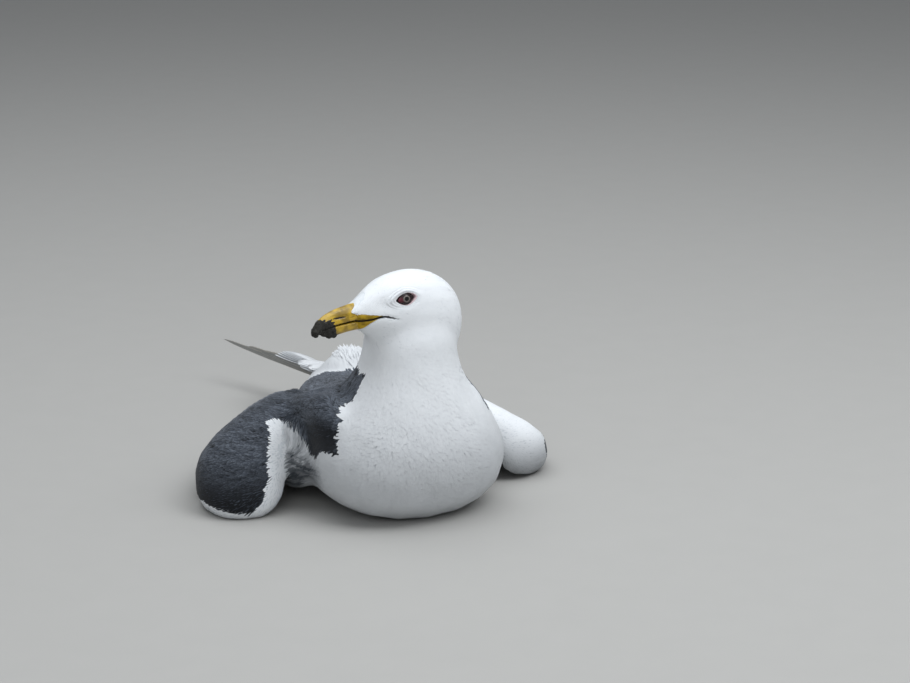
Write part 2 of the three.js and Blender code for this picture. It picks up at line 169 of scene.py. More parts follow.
def wobble(points, size, seed):
    """A smooth wavy number from -1 to 1 over space, with waves about size across."""
    total = np.zeros(points.shape[:-1])
    random = np.random.default_rng(seed)
    for _ in range(6):
        wave = unit(random.normal(size=3)) * 2 * math.pi / size * random.uniform(0.6, 1.6)
        total += np.sin(points @ wave + random.uniform(0, 6.28))
    return total / 3.5


# ---------------------------------------------------------------- meshes
def read(items, key, width, kind=float):
    """A property of a mesh's items as rows of an array."""
    values = np.zeros(len(items) * width, kind)
    items.foreach_get(key, values)
    return values.reshape(-1, width) if width > 1 else values


def new_object(name, points, faces, material=None):
    mesh = bpy.data.meshes.new(name)
    mesh.from_pydata(np.asarray(points).tolist(), [], [list(f) for f in faces])
    mesh.validate()
    mesh.update()
    mesh.shade_smooth()
    if material:
        mesh.materials.append(material)
    return linked(name, mesh)


def linked(name, data):
    made = bpy.data.objects.new(name, data)
    bpy.context.scene.collection.objects.link(made)
    return made


@contextmanager
def edited(mesh):
    """A mesh open for editing, and written back at the end."""
    shape = bmesh.new()
    shape.from_mesh(mesh)
    yield shape
    shape.to_mesh(mesh)
    shape.free()


def face_outwards(mesh, weld=0.0):
    """Merges points closer than a distance and turns the faces outwards."""
    with edited(mesh) as shape:
        if weld:
            bmesh.ops.remove_doubles(shape, verts=shape.verts, dist=weld)
        bmesh.ops.recalc_face_normals(shape, faces=shape.faces)


def swell(mesh, amount):
    """Moves a mesh's points out along its normals."""
    with edited(mesh) as shape:
        shape.normal_update()
        for vertex in shape.verts:
            vertex.co += vertex.normal * amount


def cad_copy(name):
    """A merged copy of a CAD node's mesh."""
    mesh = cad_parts[name].data.copy()
    mesh.materials.clear()
    face_outwards(mesh, 1e-6)
    return linked(name + "_copy", mesh)


def choose(objects):
    """Selects objects and makes the first one active."""
    bpy.ops.object.select_all(action="DESELECT")
    for item in objects:
        item.select_set(True)
    bpy.context.view_layer.objects.active = objects[0]


def joined(objects, name):
    choose(objects)
    if len(objects) > 1:
        bpy.ops.object.join()
    whole = objects[0]
    whole.name = whole.data.name = name
    return whole


def applied(item, kind=None, **settings):
    """Turns an object's modifiers, with one more where a kind is given, into its mesh."""
    if kind:
        modifier = item.modifiers.new(kind, kind)
        for key, value in settings.items():
            setattr(modifier, key, value)
    graph = bpy.context.evaluated_depsgraph_get()
    mesh = bpy.data.meshes.new_from_object(item.evaluated_get(graph))
    old = item.data
    item.modifiers.clear()
    item.data = mesh
    bpy.data.meshes.remove(old)
    return item


def both_ways(mesh_edges):
    """Starts and ends of edges, each edge in both directions."""
    return np.concatenate([mesh_edges, mesh_edges[:, ::-1]]).T


def smoothed(points, edges, weights, turns):
    """Moves each point towards the mean of its neighbours, by its weight, in turns."""
    count = len(points)
    starts, ends = both_ways(edges)
    share = np.bincount(starts, minlength=count).astype(float)[:, None]
    weights = np.broadcast_to(weights, count)[:, None]
    for _ in range(turns):
        sums = [np.bincount(starts, column[ends], count) for column in points.T]
        points = points + weights * (np.stack(sums, 1) / share - points)
    return points


def attribute(mesh, name, values):
    made = mesh.attributes.new(name, "FLOAT", "POINT")
    made.data.foreach_set("value", np.asarray(values, np.float32))


def move_points(mesh, points):
    mesh.vertices.foreach_set("co", points.ravel())
    mesh.update()
    mesh.shade_smooth()


def grid_faces(rows):
    """Quads between rows of corners."""
    a, b = rows[:-1], rows[1:]
    return np.stack([a[:, :-1], a[:, 1:], b[:, 1:], b[:, :-1]], -1).reshape(-1, 4).tolist()


class Surface:
    """Triangles that answer which place on them is nearest, with its smooth normal and fields."""

    def __init__(self, mesh):
        mesh.calc_loop_triangles()
        self.points = read(mesh.vertices, "co", 3)
        self.corners = read(mesh.loop_triangles, "vertices", 3, int)
        self.normals = read(mesh.vertices, "normal", 3)
        self.tree = BVHTree.FromPolygons(self.points.tolist(), self.corners.tolist())
        self.fields = {}

    def nearest(self, places):
        """The nearest points, with the triangle and corner weights of each."""
        hits = [self.tree.find_nearest(place) for place in places.tolist()]
        found = np.array([hit[0] for hit in hits])
        which = np.array([hit[2] for hit in hits])
        a, b, c = np.moveaxis(self.points[self.corners[which]], 1, 0)
        across = np.cross(b - a, c - a)
        size = np.maximum((across**2).sum(1), 1e-20)
        v = (np.cross(found - a, c - a) * across).sum(1) / size
        w = (np.cross(b - a, found - a) * across).sum(1) / size
        return found, which, np.clip(np.stack([1 - v - w, v, w], 1), 0, 1)

    def read(self, values, which, weights):
        """Values given at the corners, read at places found by nearest."""
        picked = values[self.corners[which]]
        shaped = weights.reshape(weights.shape + (1,) * (picked.ndim - 2))
        return (picked * shaped).sum(1)

    def distance(self, places):
        return np.array([self.tree.find_nearest(place)[3] for place in places.tolist()])

    def mean(self, name):
        """A field's mean over each triangle."""
        return self.fields[name][self.corners].mean(1)


# ---------------------------------------------------------------- nodes and materials
class Wire:
    """What a node gives. Wires add, subtract and multiply, with one another and with numbers."""

    def __init__(self, tree, socket):
        self.tree = tree
        self.socket = socket

    def worked(self, other, operation):
        return add_node(self.tree, "Math", self, other, operation=operation)

    def __add__(self, other):
        return self.worked(other, "ADD")

    def __sub__(self, other):
        return self.worked(other, "SUBTRACT")

    def __mul__(self, other):
        return self.worked(other, "MULTIPLY")


def add_node(tree, kind, *values, out=None, named=None, **settings):
    """Adds a node with its settings, sets or links its inputs in order or by name, and gives an output."""
    node = tree.nodes.new(kind if "Node" in kind else "ShaderNode" + kind)
    for key, value in settings.items():
        setattr(node, key, value)
    given = [*zip([socket for socket in node.inputs if socket.enabled], values)]
    given += [(node.inputs[key], value) for key, value in (named or {}).items()]
    for socket, value in given:
        if isinstance(value, Wire):
            tree.links.new(value.socket, socket)
        else:
            socket.default_value = [*value, 1.0][:4] if socket.type == "RGBA" else value
    ends = [socket for socket in node.outputs if socket.enabled and out in (None, socket.name)]
    return Wire(tree, ends[0]) if ends else None


def layered(base, *layers):
    """Colours laid over a base in turn, each by its share."""
    for share, colour in layers:
        base = add_node(share.tree, "Mix", share, base, colour, data_type="RGBA")
    return base


def material(name, attributes=(), **settings):
    """A material with its shader's values, what adds its nodes, and its piece's attributes."""
    made = bpy.data.materials.new(name)
    made.use_nodes = True
    for key, value in settings.items():
        made.node_tree.nodes["Principled BSDF"].inputs[key.replace("_", " ")].default_value = value
    add = partial(add_node, made.node_tree)
    return made, add, [add("Attribute", out="Fac", attribute_name=item) for item in attributes]


def finished(made, colour, relief=None, deep=0.0, strength=1.0, rough=None):
    """Links a material's colour, relief and roughness to its shader."""
    tree = made.node_tree
    ends = {"Base Color": colour, "Roughness": rough}
    if relief:
        heights = {"Height": relief, "Distance": deep, "Strength": strength}
        ends["Normal"] = add_node(tree, "Bump", named=heights)
    for key, wire in ends.items():
        if wire:
            tree.links.new(wire.socket, tree.nodes["Principled BSDF"].inputs[key])
    return made


def mottle(add, scale, detail=3.0, stretch=(1, 1, 1), roughness=0.5):
    """Uneven tones over the object's own coordinates."""
    placed = add("Mapping", add("TexCoord", out="Object"), named={"Scale": stretch})
    return add("TexNoise", placed, scale, detail, roughness)


def vane(add, lengthwise, sideways):
    """Places across and along a feather, and its barbs. They leave the shaft at a slant.

    Real barbs are a tenth of a millimetre apart, and show as far fewer."""
    place = add("UVMap", uv_map="vane")
    across = add("Math", add("SeparateXYZ", place) - 0.5, operation="ABSOLUTE")
    along = add("SeparateXYZ", place, out="Y")
    return across, along, add("Math", (along * lengthwise - across * sideways) * 6.28, operation="SINE")


SMOOTH = {"interpolation_type": "SMOOTHSTEP"}


def contour_feather(c):
    """Body feathers: matt, soft barbs, white or slate. Slate ones have paler rims."""
    made, add, (tone, slate, grey) = material(
        "contour feather",
        ("tone", "slate", "grey"),
        Roughness=0.75,
        Sheen_Weight=0.08,
        Sheen_Roughness=0.5,
        Specular_IOR_Level=0.25,
    )
    across, along, barbs = vane(add, 9.0, 7.0)
    # White feathers are brightest at the tip, and bluish grey towards the root where the down shows between
    # them: the grey of the down with painted shade.
    out = add("MapRange", along, 0.0, 0.5, **SMOOTH)
    rim = add("MapRange", across * 1.3 + along, 0.75, 1.35, **SMOOTH)
    # grey lays on the lining grey: painted shade low on the breast and left wing, and grey plumes with
    # painted shade in the hollow beside the right wing.
    white = layered(c.white_shade, (out, c.white), (tone * 0.12, c.white_shade), (grey, c.lining_and_shade))
    grain = mottle(add, 900.0) * 0.35
    # Tone falls to deep slate where shade is painted under the right shoulder and low on the wings.
    dark = layered(c.slate_deep, (tone, c.slate), (rim * tone, c.slate_rim), (grain, c.slate_deep))
    return finished(made, layered(white, (slate, dark)), barbs, 0.00004, 0.5)


def flight_feather(c):
    """Wing and tail quills: firm, slightly glossy vanes with a dark shaft and white tips."""
    made, add, (dark, under, tip) = material(
        "flight feather", ("dark", "under", "tip"), Roughness=0.55, Sheen_Weight=0.1, Specular_IOR_Level=0.35
    )
    across, along, barbs = vane(add, 60.0, 16.0)
    ragged = mottle(add, 260.0, 4.0)
    worn = add("MapRange", across, 0.28, 0.5, **SMOOTH) * (under + 0.25)
    # dark: 0 in a white feather, 0.5 in a slate one and 1 in a black one.
    black, slaty, shafted = (add("MapRange", dark, *ends) for ends in ((0.5, 1.0), (0.0, 0.4), (0.2, 0.5)))
    slate = layered(c.slate, (black, c.primary), (under, c.under), (worn * 0.8, c.quill_rim))
    shaft = add("MapRange", across, 0.045, 0.02, **SMOOTH) * shafted
    shaft_colour = layered(c.slate_deep, (under, c.quill_rim))
    # tip: where along the feather its white end starts. The edge of the white is rounded and ragged.
    end = add("MapRange", along - tip + (ragged - 0.5) * 0.03 - under * 0.012, -0.006, 0.006, **SMOOTH)
    stained = layered(c.white, (slaty, slate), (ragged * 0.25, c.slate_deep))
    return finished(made, layered(stained, (shaft * 0.6, shaft_colour), (end, c.white)), barbs, 0.00005, 0.5)


def horn_colour(add, c):
    """Yellow horn with ochre clouds and brown scratches."""
    cloud = add("MapRange", mottle(add, 140.0, 4.0), 0.4, 0.7, **SMOOTH)
    scratch = add("MapRange", mottle(add, 420.0, 3.0, (0.4, 1, 1)), 0.56, 0.7, **SMOOTH)
    return layered(c.bill, (cloud, c.bill_ochre), (scratch * 0.6, c.bill_brown))


def bird_skin(c):
    """The skin and down under the coat, with the coat's markings, and the yellow flesh of the gape."""
    made, add, (slate, grey, lid, gape, mouth) = material(
        "skin and down", ("slate", "grey", "lid", "gape", "mouth"), Roughness=0.8, Specular_IOR_Level=0.2
    )
    down = mottle(add, 700.0)
    white, dark = layered(c.white, (down, c.white_shade)), layered(c.slate_deep, (down, c.slate))
    # grey lays on the lining grey: painted shade low on the breast and left wing, and grey plumes with
    # painted shade in the hollow beside the right wing.
    coat = layered(white, (slate, dark), (grey, c.lining_and_shade), (lid, c.lid))
    # mouth lays painted shade along the mouth's crease.
    coat = layered(coat, (gape, horn_colour(add, c)), (mouth, c.mouth))
    return finished(made, coat, down, 0.0003, 0.4)


def bill_horn(c):
    """Bill sheath: smooth waxy horn, yellow with ochre smudges, its tip caked in dark wet sand."""
    made, add, (groove, sand) = material(
        "bill horn", ("groove", "sand"), Roughness=0.38, Coat_Weight=0.15, Coat_Roughness=0.3
    )
    grit = mottle(add, 1400.0, 4.0, roughness=0.8)
    grains = layered(c.sand, (add("MapRange", grit, 0.5, 0.75, **SMOOTH), c.sand_pale))
    caked = add("MapRange", sand + (mottle(add, 500.0) - 0.5) * 0.9, 0.42, 0.58, **SMOOTH)
    # groove lays on painted shade in the mouth line and the nostril.
    colour = layered(horn_colour(add, c), (groove, c.mouth), (caked, grains))
    relief = grit * caked * 5.0 + mottle(add, 420.0)
    return finished(made, colour, relief, 0.0002, 0.6, rough=caked * 0.5 + 0.38)


def eye_surface(c):
    """A wet eye: black pupil and a grey iris with fine spokes, under a clear glossy cornea."""
    # polar is 0 at the pupil's middle and 1 at the iris's rim.
    made, add, (polar, turn) = material(
        "eye", ("polar", "turn"), Roughness=0.4, Coat_Weight=0.5, Coat_Roughness=0.03, IOR=1.33
    )
    spokes = add("TexNoise", add("CombineXYZ", turn, polar), 9.0)
    borders = ((0.7, 0.95), (0.56, 0.49), (0.96, 1.04))
    shade, pupil, rim = (add("MapRange", polar, *border, **SMOOTH) for border in borders)
    iris = layered(c.iris_dark, (spokes, c.iris), (shade, c.iris_dark), (pupil, c.mouth), (rim, c.mouth))
    return finished(made, iris)


def lid_flesh(c):
    """Bare wine-red skin of the orbital ring, moist and finely wrinkled."""
    made, add, (flesh,) = material("orbital ring", ("flesh",), Roughness=0.4, Subsurface_Weight=0.1)
    wrinkle = mottle(add, 1500.0)
    return finished(made, layered(c.ring, (wrinkle, c.mouth), (flesh, c.ring_flesh)), wrinkle, 0.00015, 0.6)


def leg_skin(c):
    """Legs and webs: leathery pink skin in small plates."""
    made, add, _ = material("leg skin", Roughness=0.5)
    plates = add("TexVoronoi", add("TexCoord", out="Object"), 650.0, feature="DISTANCE_TO_EDGE")
    cracks = add("MapRange", plates, 0.0, 0.12, **SMOOTH)
    base = layered(c.leg, (mottle(add, 120.0), c.leg_deep))
    return finished(made, layered(c.leg_deep, (cracks, base)), cracks, 0.0002, 0.6)


# ---------------------------------------------------------------- sizes and colours
def length(name, metres, description):
    words = {"name": name, "description": description}
    return bpy.props.FloatProperty(**words, default=metres, unit="LENGTH", precision=5)


def share(name, value, description):
    return bpy.props.FloatProperty(name=name, description=description, default=value, min=0, max=10)


def hue(name, code, description):
    return bpy.props.FloatVectorProperty(
        name=name, description=description, subtype="COLOR", size=3, min=0, max=1, default=linear(code)
    )


class GullSizes(bpy.types.PropertyGroup):
    """Sizes of the skin and its feathers."""

    voxel: length("Skin grain", 0.0021, "Width of the skin's faces")
    coat_share: share("Coat depth", 0.1, "Depth of the coat as a share of its feathers' length")
    spacing_share: share("Feather spacing", 0.2, "Distance between roots as a share of the feathers' length")
    primary_width: length("Primary width", 0.02, "Width of a primary's vane")
    eye_radius: length("Eye radius", 0.0074, "Radius of the eyeball")
    iris_radius: length("Iris radius", 0.0035, "Radius of the iris")


class GullColours(bpy.types.PropertyGroup):
    """Colours of the bird."""

    white: hue("White", "#f1f4f7", "Head, breast and tail")
    # Lining grey also serves as painted shade: low on the breast, low on the left wing and towards the
    # bottom of the hollow beside the right wing.
    lining_and_shade: hue("Lining grey", "#3c4147", "Loose plumes of the flank and under the wing")
    # White in shade: the down's grey with painted shade, at the feathers' roots and on the skin between
    # them.
    white_shade: hue("White in shade", "#c9d0d6", "Down between white feathers")
    slate: hue("Slate", "#5e6571", "Mantle and upper wing")
    # Deep slate is also the colour of the painted shade under the right shoulder and low on the wings.
    slate_deep: hue("Deep slate", "#15181d", "Bases of the slate feathers")
    slate_rim: hue("Slate rim", "#868e99", "Worn rims of the slate feathers")
    primary: hue("Primary black", "#1e1f22", "Outer primaries")
    under: hue("Underside grey", "#a2a3a2", "Undersides of the quills")
    quill_rim: hue("Quill rim", "#cbc7bd", "Worn edges of the quills")
    bill: hue("Bill yellow", "#bf9d29", "Bill sheath")
    bill_ochre: hue("Bill ochre", "#866c1e", "Smudges on the bill")
    bill_brown: hue("Bill brown", "#53391a", "Scratches on the bill")
    # In the mouth line and the nostril this dark is painted shade in the slits; in the pupil it is the eye's
    # own black.
    mouth: hue("Mouth dark", "#0a0707", "Mouth line, nostril and pupil")
    sand: hue("Wet sand", "#171612", "Sand caked on the bill's tip")
    sand_pale: hue("Pale grit", "#56524a", "Grains in the sand")
    iris: hue("Iris", "#8f8781", "Grey of the iris")
    iris_dark: hue("Iris dark", "#453b38", "Spokes of the iris")
    ring: hue("Orbital ring", "#2b0911", "Bare ring round the eye")
    ring_flesh: hue("Eye corner", "#5b1928", "Flesh at the eye's front corner")
    lid: hue("Lid", "#d8bfc2", "Pale skin beside the ring")
    leg: hue("Leg pink", "#d59c98", "Webs and shanks")
    leg_deep: hue("Leg shade", "#a86a6a", "Cracks between the leg's plates")
    floor: hue("Floor", "#aeadaa", "Studio floor")


def sizes():
    return bpy.context.scene.gull_sizes


# ---------------------------------------------------------------- the coat's fields over the skin
# From bill to tail through the middle of the body: the coat lies along it.
SPINE = [from_head(np.array(place) * MM) for place in ((60, 0, 2), (12, 0, 4), (-8, 0, -14))]
SPINE += [np.array(place) * MM for place in ((0, -190, 125), (4, -165, 68), (10, -80, 50), (24, 60, 60))]


def eye_frame(side):
    """An eye's centre and axis, and the lids' length and height, in the row's frame."""
    flip = np.array([1, SIDES[side], 1])
    axis = (unit(EYE_AXIS) * flip) @ HEAD_AXES
    forward = unit(HEAD_AXES[0] - axis * (HEAD_AXES[0] @ axis))
    forward = unit(forward + np.cross(axis, forward) * SIDES[side] * LID_TILT)
    return from_head(EYE_PLACE * flip), axis, forward, np.cross(axis, forward)


def eye_offsets(points, side):
    """Depth along the eye's axis, distance from it with the lids' outline as a circle, and turn."""
    centre, axis, forward, upward = eye_frame(side)
    offset = points - centre
    ahead, above = offset @ forward / LID_STRETCH, offset @ upward
    radial = (np.abs(ahead) ** LID_POINT + np.abs(above) ** LID_POINT) ** (1 / LID_POINT)
    return offset @ axis, radial, np.arctan2(above, ahead)


def coat_lie(points, normals, near_head, wing, plumes):
    """Which way the feathers point: along the spine, and towards the hand over the wings."""
    lie = np.zeros_like(points)
    for start, end in zip(SPINE, SPINE[1:]):
        along = end - start
        t = np.clip((points - start) @ along / (along @ along), 0, 1)
        away = np.linalg.norm(points - start - t[:, None] * along, axis=1)
        lie += unit(along) / away[:, None] ** 4
    lie = unit(lie)
    x, y, z = points.T
    for side, sign in SIDES.items():
        hand = np.array([sign * 0.055, 0.06, 0.015])
        rear = ramp(y, -0.09, -0.02)[:, None]
        sweep = unit(np.array([sign * 0.6, 1.0, -0.35]))
        wing_lie = unit(sweep * (1 - rear) + unit(hand - points) * rear)
        lie += wing[side][:, None] * (wing_lie - lie)
    winged = wing["right"] + wing["left"]
    side_on = ramp(np.abs(x), 0.03, 0.062) * ramp(-z, -0.115, -0.09) * (1 - near_head) * (1 - winged)
    outward = unit(np.sign(x)[:, None] * [0.35, 0, 0] + [0, 1.0, -0.45])
    lie += side_on[:, None] * (outward - lie)
    hangs = ramp(z, 0.05, 0.06)[:, None]
    loose = unit(np.array([-0.8, 0.5, -0.4])) * (1 - hangs) + np.array([-0.1, -0.1, -1]) * hangs
    lie += plumes[:, None] * (loose - lie)
    waver = np.stack([wobble(points, 0.03, seed) for seed in (1, 2, 3)], 1)
    return flattened(unit(lie + 0.12 * waver), normals)


def slate_parts(points, normals, near_head, wing):
    """1 where the feathers are slate and 0 where they are white."""
    jag = 0.0009 * wobble(points, 0.006, 7) + 0.0012 * wobble(points, 0.02, 8)
    x, y, z = points.T
    out = np.abs(x)
    up = normals[:, 2]
    collar = -0.156 - 0.95 * np.minimum(out, 0.04) - 1.6 * np.maximum(0, out - 0.057)
    rump = -0.026 - 0.1 * np.abs(x - 0.026) + 0.8 * np.maximum(0, 0.010 - x) * ramp(x, -0.05, -0.02)
    floor = curve(SLATE_FLOOR, y) + 0.02 * ramp(x, 0.02, 0.05) * ramp(-y, 0.15, 0.18)
    back = np.minimum.reduce([z - floor, 0.133 - z, y - collar, rump - y]) + jag
    # Right wing: slate but for its leading edge, its lower rim and its inner face.
    crown = z - curve(WING_CROWN, y)
    hanging = z - curve(HEM, y)
    slit = np.maximum(0, 0.017 - 3.2 * np.abs(y + 0.131))
    arm = ramp(-x, 0.079, 0.083)
    across = x * 0.906 - y * 0.423
    outer = np.maximum.reduce([curve(WING_BAND, z) - across, np.minimum(crown, (up - 0.1) * 0.03), hanging])
    outer = np.minimum(outer, (up + 0.3) * 0.03 + 0.2 * ramp(y, -0.09, -0.07))
    beside = ramp(-x, 0.0715, 0.0745) * ramp(-y, 0.122, 0.128)
    back = np.minimum(back, (hanging + slit) * beside + 0.1 * (1 - beside))
    inner = np.maximum(back, np.minimum(crown, up) * (1 - beside) - 0.01 * beside)
    # Left wing: its front is white, and slate starts behind the rim.
    rim = (normals[:, 0] - 0.74) * 0.03
    crest = np.minimum(y + 0.126, (normals[:, 0] + 0.9 * up) * 0.03)
    upper = {
        "right": outer * arm + inner * (1 - arm),
        "left": np.maximum.reduce([rim, crest, np.minimum(0.0745 - x, z - 0.07)]),
    }
    slate = ramp(back, -0.001, 0.001) * (1 - near_head)
    for side in SIDES:
        slate += wing[side] * (ramp(upper[side] + jag, -0.001, 0.001) - slate)
    return slate


def coat_fields(points, normals, distances):
    """What the coat is like at points of the skin: its lie, length, colour and bare places."""
    head = to_head(points)
    near_head = ramp(distances["trunk"] - distances["head"], -0.004, 0.004)
    wing = {side: ramp(distances["trunk"] - distances["wing_" + side], -0.001, 0.006) for side in SIDES}
    x, y, z = points.T
    plumes = inside(points, FLANK, -1.15, -0.7) * ramp(x, -0.0925, -0.0885)
    slate = slate_parts(points, normals, near_head, wing)

    body_length = np.interp(ramp(z, 0.16, 0.09), [0, 1], BODY_FEATHERS)
    face_length = np.interp((0.057 - head[:, 0]) / 0.075, [0, 1], FACE_FEATHERS)
    long = body_length + near_head * (face_length - body_length)
    for side in SIDES:
        long += wing[side] * (np.interp(ramp(y, -0.15, -0.03), [0, 1], WING_FEATHERS) - long)
    from_eye = np.ones(len(points))
    for side in SIDES:
        depth, radial, _ = eye_offsets(points, side)
        from_eye = np.minimum(from_eye, np.where(depth > -0.004, radial, 1.0))
    long = np.minimum(long, 0.0016 + 0.3 * np.maximum(from_eye - 0.0055, 0))
    ruffle = inside(points, TUFT, -1.3, -0.7) * ramp(-normals[:, 1], -0.5, 0.0) * (1 - slate)
    long = long + ruffle * (TUFT_PLUMES - long)
    long = long + plumes * (FLANK_PLUMES - long)
    ruffle = np.maximum(ruffle, 0.35 * inside(head, NAPE, -1.3, -0.6) * near_head)

    # The mouth and the bare yellow flesh that runs back along it.
    ahead, _, above = head.T
    in_front = near_head * (ahead > 0.022)
    yellow = np.minimum(curve(GAPE_ROOF, ahead) - above, ahead - curve(GAPE_BACK, above))
    gape = ramp(yellow, -0.0004, 0.0006) * in_front
    # Painted shade: a dark line along the mouth's crease.
    off_mouth = np.abs(above - curve(MOUTH, ahead))
    mouth = ramp(-off_mouth, -0.0012, -0.0006) * in_front * ramp(ahead, 0.024, 0.034)
    over_bill = ramp((head - LORAL_PLACE) @ LORAL_SLOPE, -0.0016, -0.0008) * (above > 0.003)
    under_bill = ramp(ahead, 0.0545, 0.056) * (above < 0.003)
    eyelid = ramp(-from_eye, -0.0056, -0.0050)
    bare = np.maximum.reduce([eyelid, gape, mouth, near_head * over_bill, near_head * under_bill])

    # Painted shade: the slate is darkened under the right shoulder and low on the wings, where they face
    # down into shadow.
    low = (wing["right"] + 0.4 * wing["left"]) * ramp(-z, -0.06, -0.016)
    deep = 0.95 * inside(points, SHOULDER_SHADE, -1.25, -0.75) + low
    # Grey in the white: grey plumes in the hollow beside the right wing, darkened towards the bottom as
    # painted shade; and painted shade low on the breast and low on the left wing.
    hollow = 0.25 * ramp(-x, 0.052, 0.072) + 0.75 * ramp(-x, 0.072, 0.085)
    grey = plumes * hollow * (0.34 + 0.62 * ramp(-z, -0.060, -0.036))
    grey += 0.36 * (1 - wing["right"] - wing["left"]) * ramp(-z, -0.125, -0.04)
    grey += 0.6 * wing["left"] * ramp(-z, -0.048, -0.004)
    return {
        "lie": coat_lie(points, normals, near_head, wing, plumes),
        "length": long,
        "slate": np.clip(slate, 0, 1),
        "gape": gape,
        "mouth": mouth,
        "lid": ramp(-from_eye, -0.0062, -0.0052),
        "bare": bare,
        "ruffle": ruffle,
        "deep": np.clip(deep, 0, 1),
        "grey": np.clip(grey, 0, 0.95),
        "plumes": plumes,
        "head": near_head,
        "wing_right": wing["right"],
        "wing_left": wing["left"],
    }


# ---------------------------------------------------------------- skin
def ellipsoid(place, radii, tilt):
    """A body of soft flesh, its place and radii in mm."""
    bpy.ops.mesh.primitive_uv_sphere_add(segments=32, ring_count=16, radius=1)
    made = bpy.context.view_layer.objects.active
    made.data.transform(Matrix.Diagonal((*(r * MM for r in radii), 1)))
    made.data.transform(Matrix.Rotation(-math.radians(tilt), 4, "X"))
    made.data.transform(Matrix.Translation([c * MM for c in place]))
    return made


def loral_flesh():
    """The feathered flesh that reaches forward over the sides of the upper bill."""
    made = cad_copy("bill_upper")
    swell(made.data, 0.0016)
    front = LORAL_PLACE + LORAL_SLOPE * 0.0008
    under = np.array([46, 0, 2.8]) * MM
    with edited(made.data) as shape:
        for place, slope in ((front, LORAL_SLOPE), (under, np.array([0.12, 0, -1.0]))):
            whole = [*shape.verts, *shape.edges, *shape.faces]
            plane = {"plane_co": from_head(place), "plane_no": slope @ HEAD_AXES}
            cut = bmesh.ops.bisect_plane(shape, geom=whole, clear_outer=True, **plane)["geom_cut"]
            rim = [item for item in cut if isinstance(item, bmesh.types.BMEdge)]
            bmesh.ops.edgeloop_fill(shape, edges=rim)
    return made


def refine_face(mesh):
    """Splits the skin's faces finer, twice over, round the eyes and the corners of the mouth."""
    places = [Vector(eye_frame(side)[0]) for side in SIDES]
    for x, out in ((50, 12), (38, 17), (29, 19)):
        places += [Vector(from_head(np.array([x, y, -1]) * MM)) for y in (-out, out)]
    with edited(mesh) as shape:
        for reach in (0.0165, 0.0165 * 0.88):
            near = []
            for edge in shape.edges:
                middle = (edge.verts[0].co + edge.verts[1].co) / 2
                if min((middle - place).length for place in places) < reach:
                    near.append(edge)
            bmesh.ops.subdivide_edges(shape, edges=near, cuts=1, use_grid_fill=True)
        bmesh.ops.triangulate(shape, faces=[face for face in shape.faces if len(face.verts) > 4])
    mesh.update()


def streaks(points, edges, lie):
    """Random tones drawn out along the lie of the coat, with a spread of one."""
    starts, ends = both_ways(edges)
    run = unit(points[ends] - points[starts])
    pull = np.abs((run * unit(lie[starts] + lie[ends])).sum(1)) ** 8 + 1e-6
    total = np.bincount(starts, pull, len(points))
    tones = np.random.default_rng(17).normal(size=len(points))
    for _ in range(22):
        tones = 0.35 * tones + 0.65 * np.bincount(starts, pull * tones[ends], len(points)) / total
    return tones / tones.std()


def melted_flesh():
    """One closed mesh through all the flesh, smoothed, with what tells how far each part is."""
    bodies = []
    trees = {}
    for part, names in FLESH.items():
        whole = joined([cad_copy(name) for name in names], part + "_flesh")
        trees[part] = Surface(whole.data)
        swell(whole.data, 0.0006)
        bodies.append(whole)
    bodies.append(loral_flesh())
    bodies += [ellipsoid(*body) for body in SCAPULARS]
    skin = applied(joined(bodies, "skin"), "REMESH", mode="VOXEL", voxel_size=sizes().voxel)
    mesh = skin.data
    points = read(mesh.vertices, "co", 3)
    edges = read(mesh.edges, "vertices", 2, int)
    away = {part: tree.distance(points) for part, tree in trees.items()}
    winged = np.minimum(away["wing_right"], away["wing_left"]) < away["trunk"]
    near_head = away["head"] < away["trunk"]
    weights = np.where(winged, 0.3, 0.6)
    weights[near_head] = 0.35
    weights[near_head & ((to_head(points) - LORAL_PLACE) @ LORAL_SLOPE > -0.009)] = 0.04
    weights = smoothed(weights[:, None], edges, 0.5, 4)[:, 0]
    points = smoothed(points, edges, weights, 15)
    calm = np.maximum(inside(points, SHOULDER, -1.1, -0.6), inside(points, BEHIND_TUFT, -1.1, -0.6))
    points = smoothed(points, edges, 0.6 * calm, 70)
    points[:, 2] -= 0.0045 * inside(points, KNOB, -1.2, -0.4)
    points[:, 2] -= 0.0045 * inside(points, MOUND, -1.35, -0.5)
    move_points(mesh, points)
    return skin, trees


def build_skin():
    """One closed skin through all the flesh, as deep under the CAD surface as the coat is thick."""
    skin, trees = melted_flesh()
    mesh = skin.data
    refine_face(mesh)
    points, normals = (read(mesh.vertices, key, 3) for key in ("co", "normal"))
    edges = read(mesh.edges, "vertices", 2, int)
    fields = coat_fields(points, normals, {part: tree.distance(points) for part, tree in trees.items()})
    depth = smoothed(sizes().coat_share * fields["length"][:, None], edges, 0.5, 10)[:, 0]
    uneven = 0.0004 * wobble(points, 0.03, 12) * (1 - fields["head"])
    points = points - normals * (depth - np.minimum(uneven, depth * 0.3))[:, None]
    points = shape_face(points)
    points[:, 2] = np.maximum(points[:, 2], 0.0012)
    move_points(mesh, points)
    fields["depth"] = depth
    fields["streak"] = streaks(points, edges, fields["lie"])
    for name in ("slate", "gape", "mouth", "lid", "grey"):
        attribute(mesh, name, fields[name])
    surface = Surface(mesh)
    from_eyes = np.min([np.abs(eye_offsets(points, side)[1]) for side in SIDES], axis=0)
    surface.normals = unit(smoothed(surface.normals, edges, 0.05 + 0.5 * ramp(from_eyes, 0.011, 0.018), 30))
    surface.fields = fields
    return skin, surface


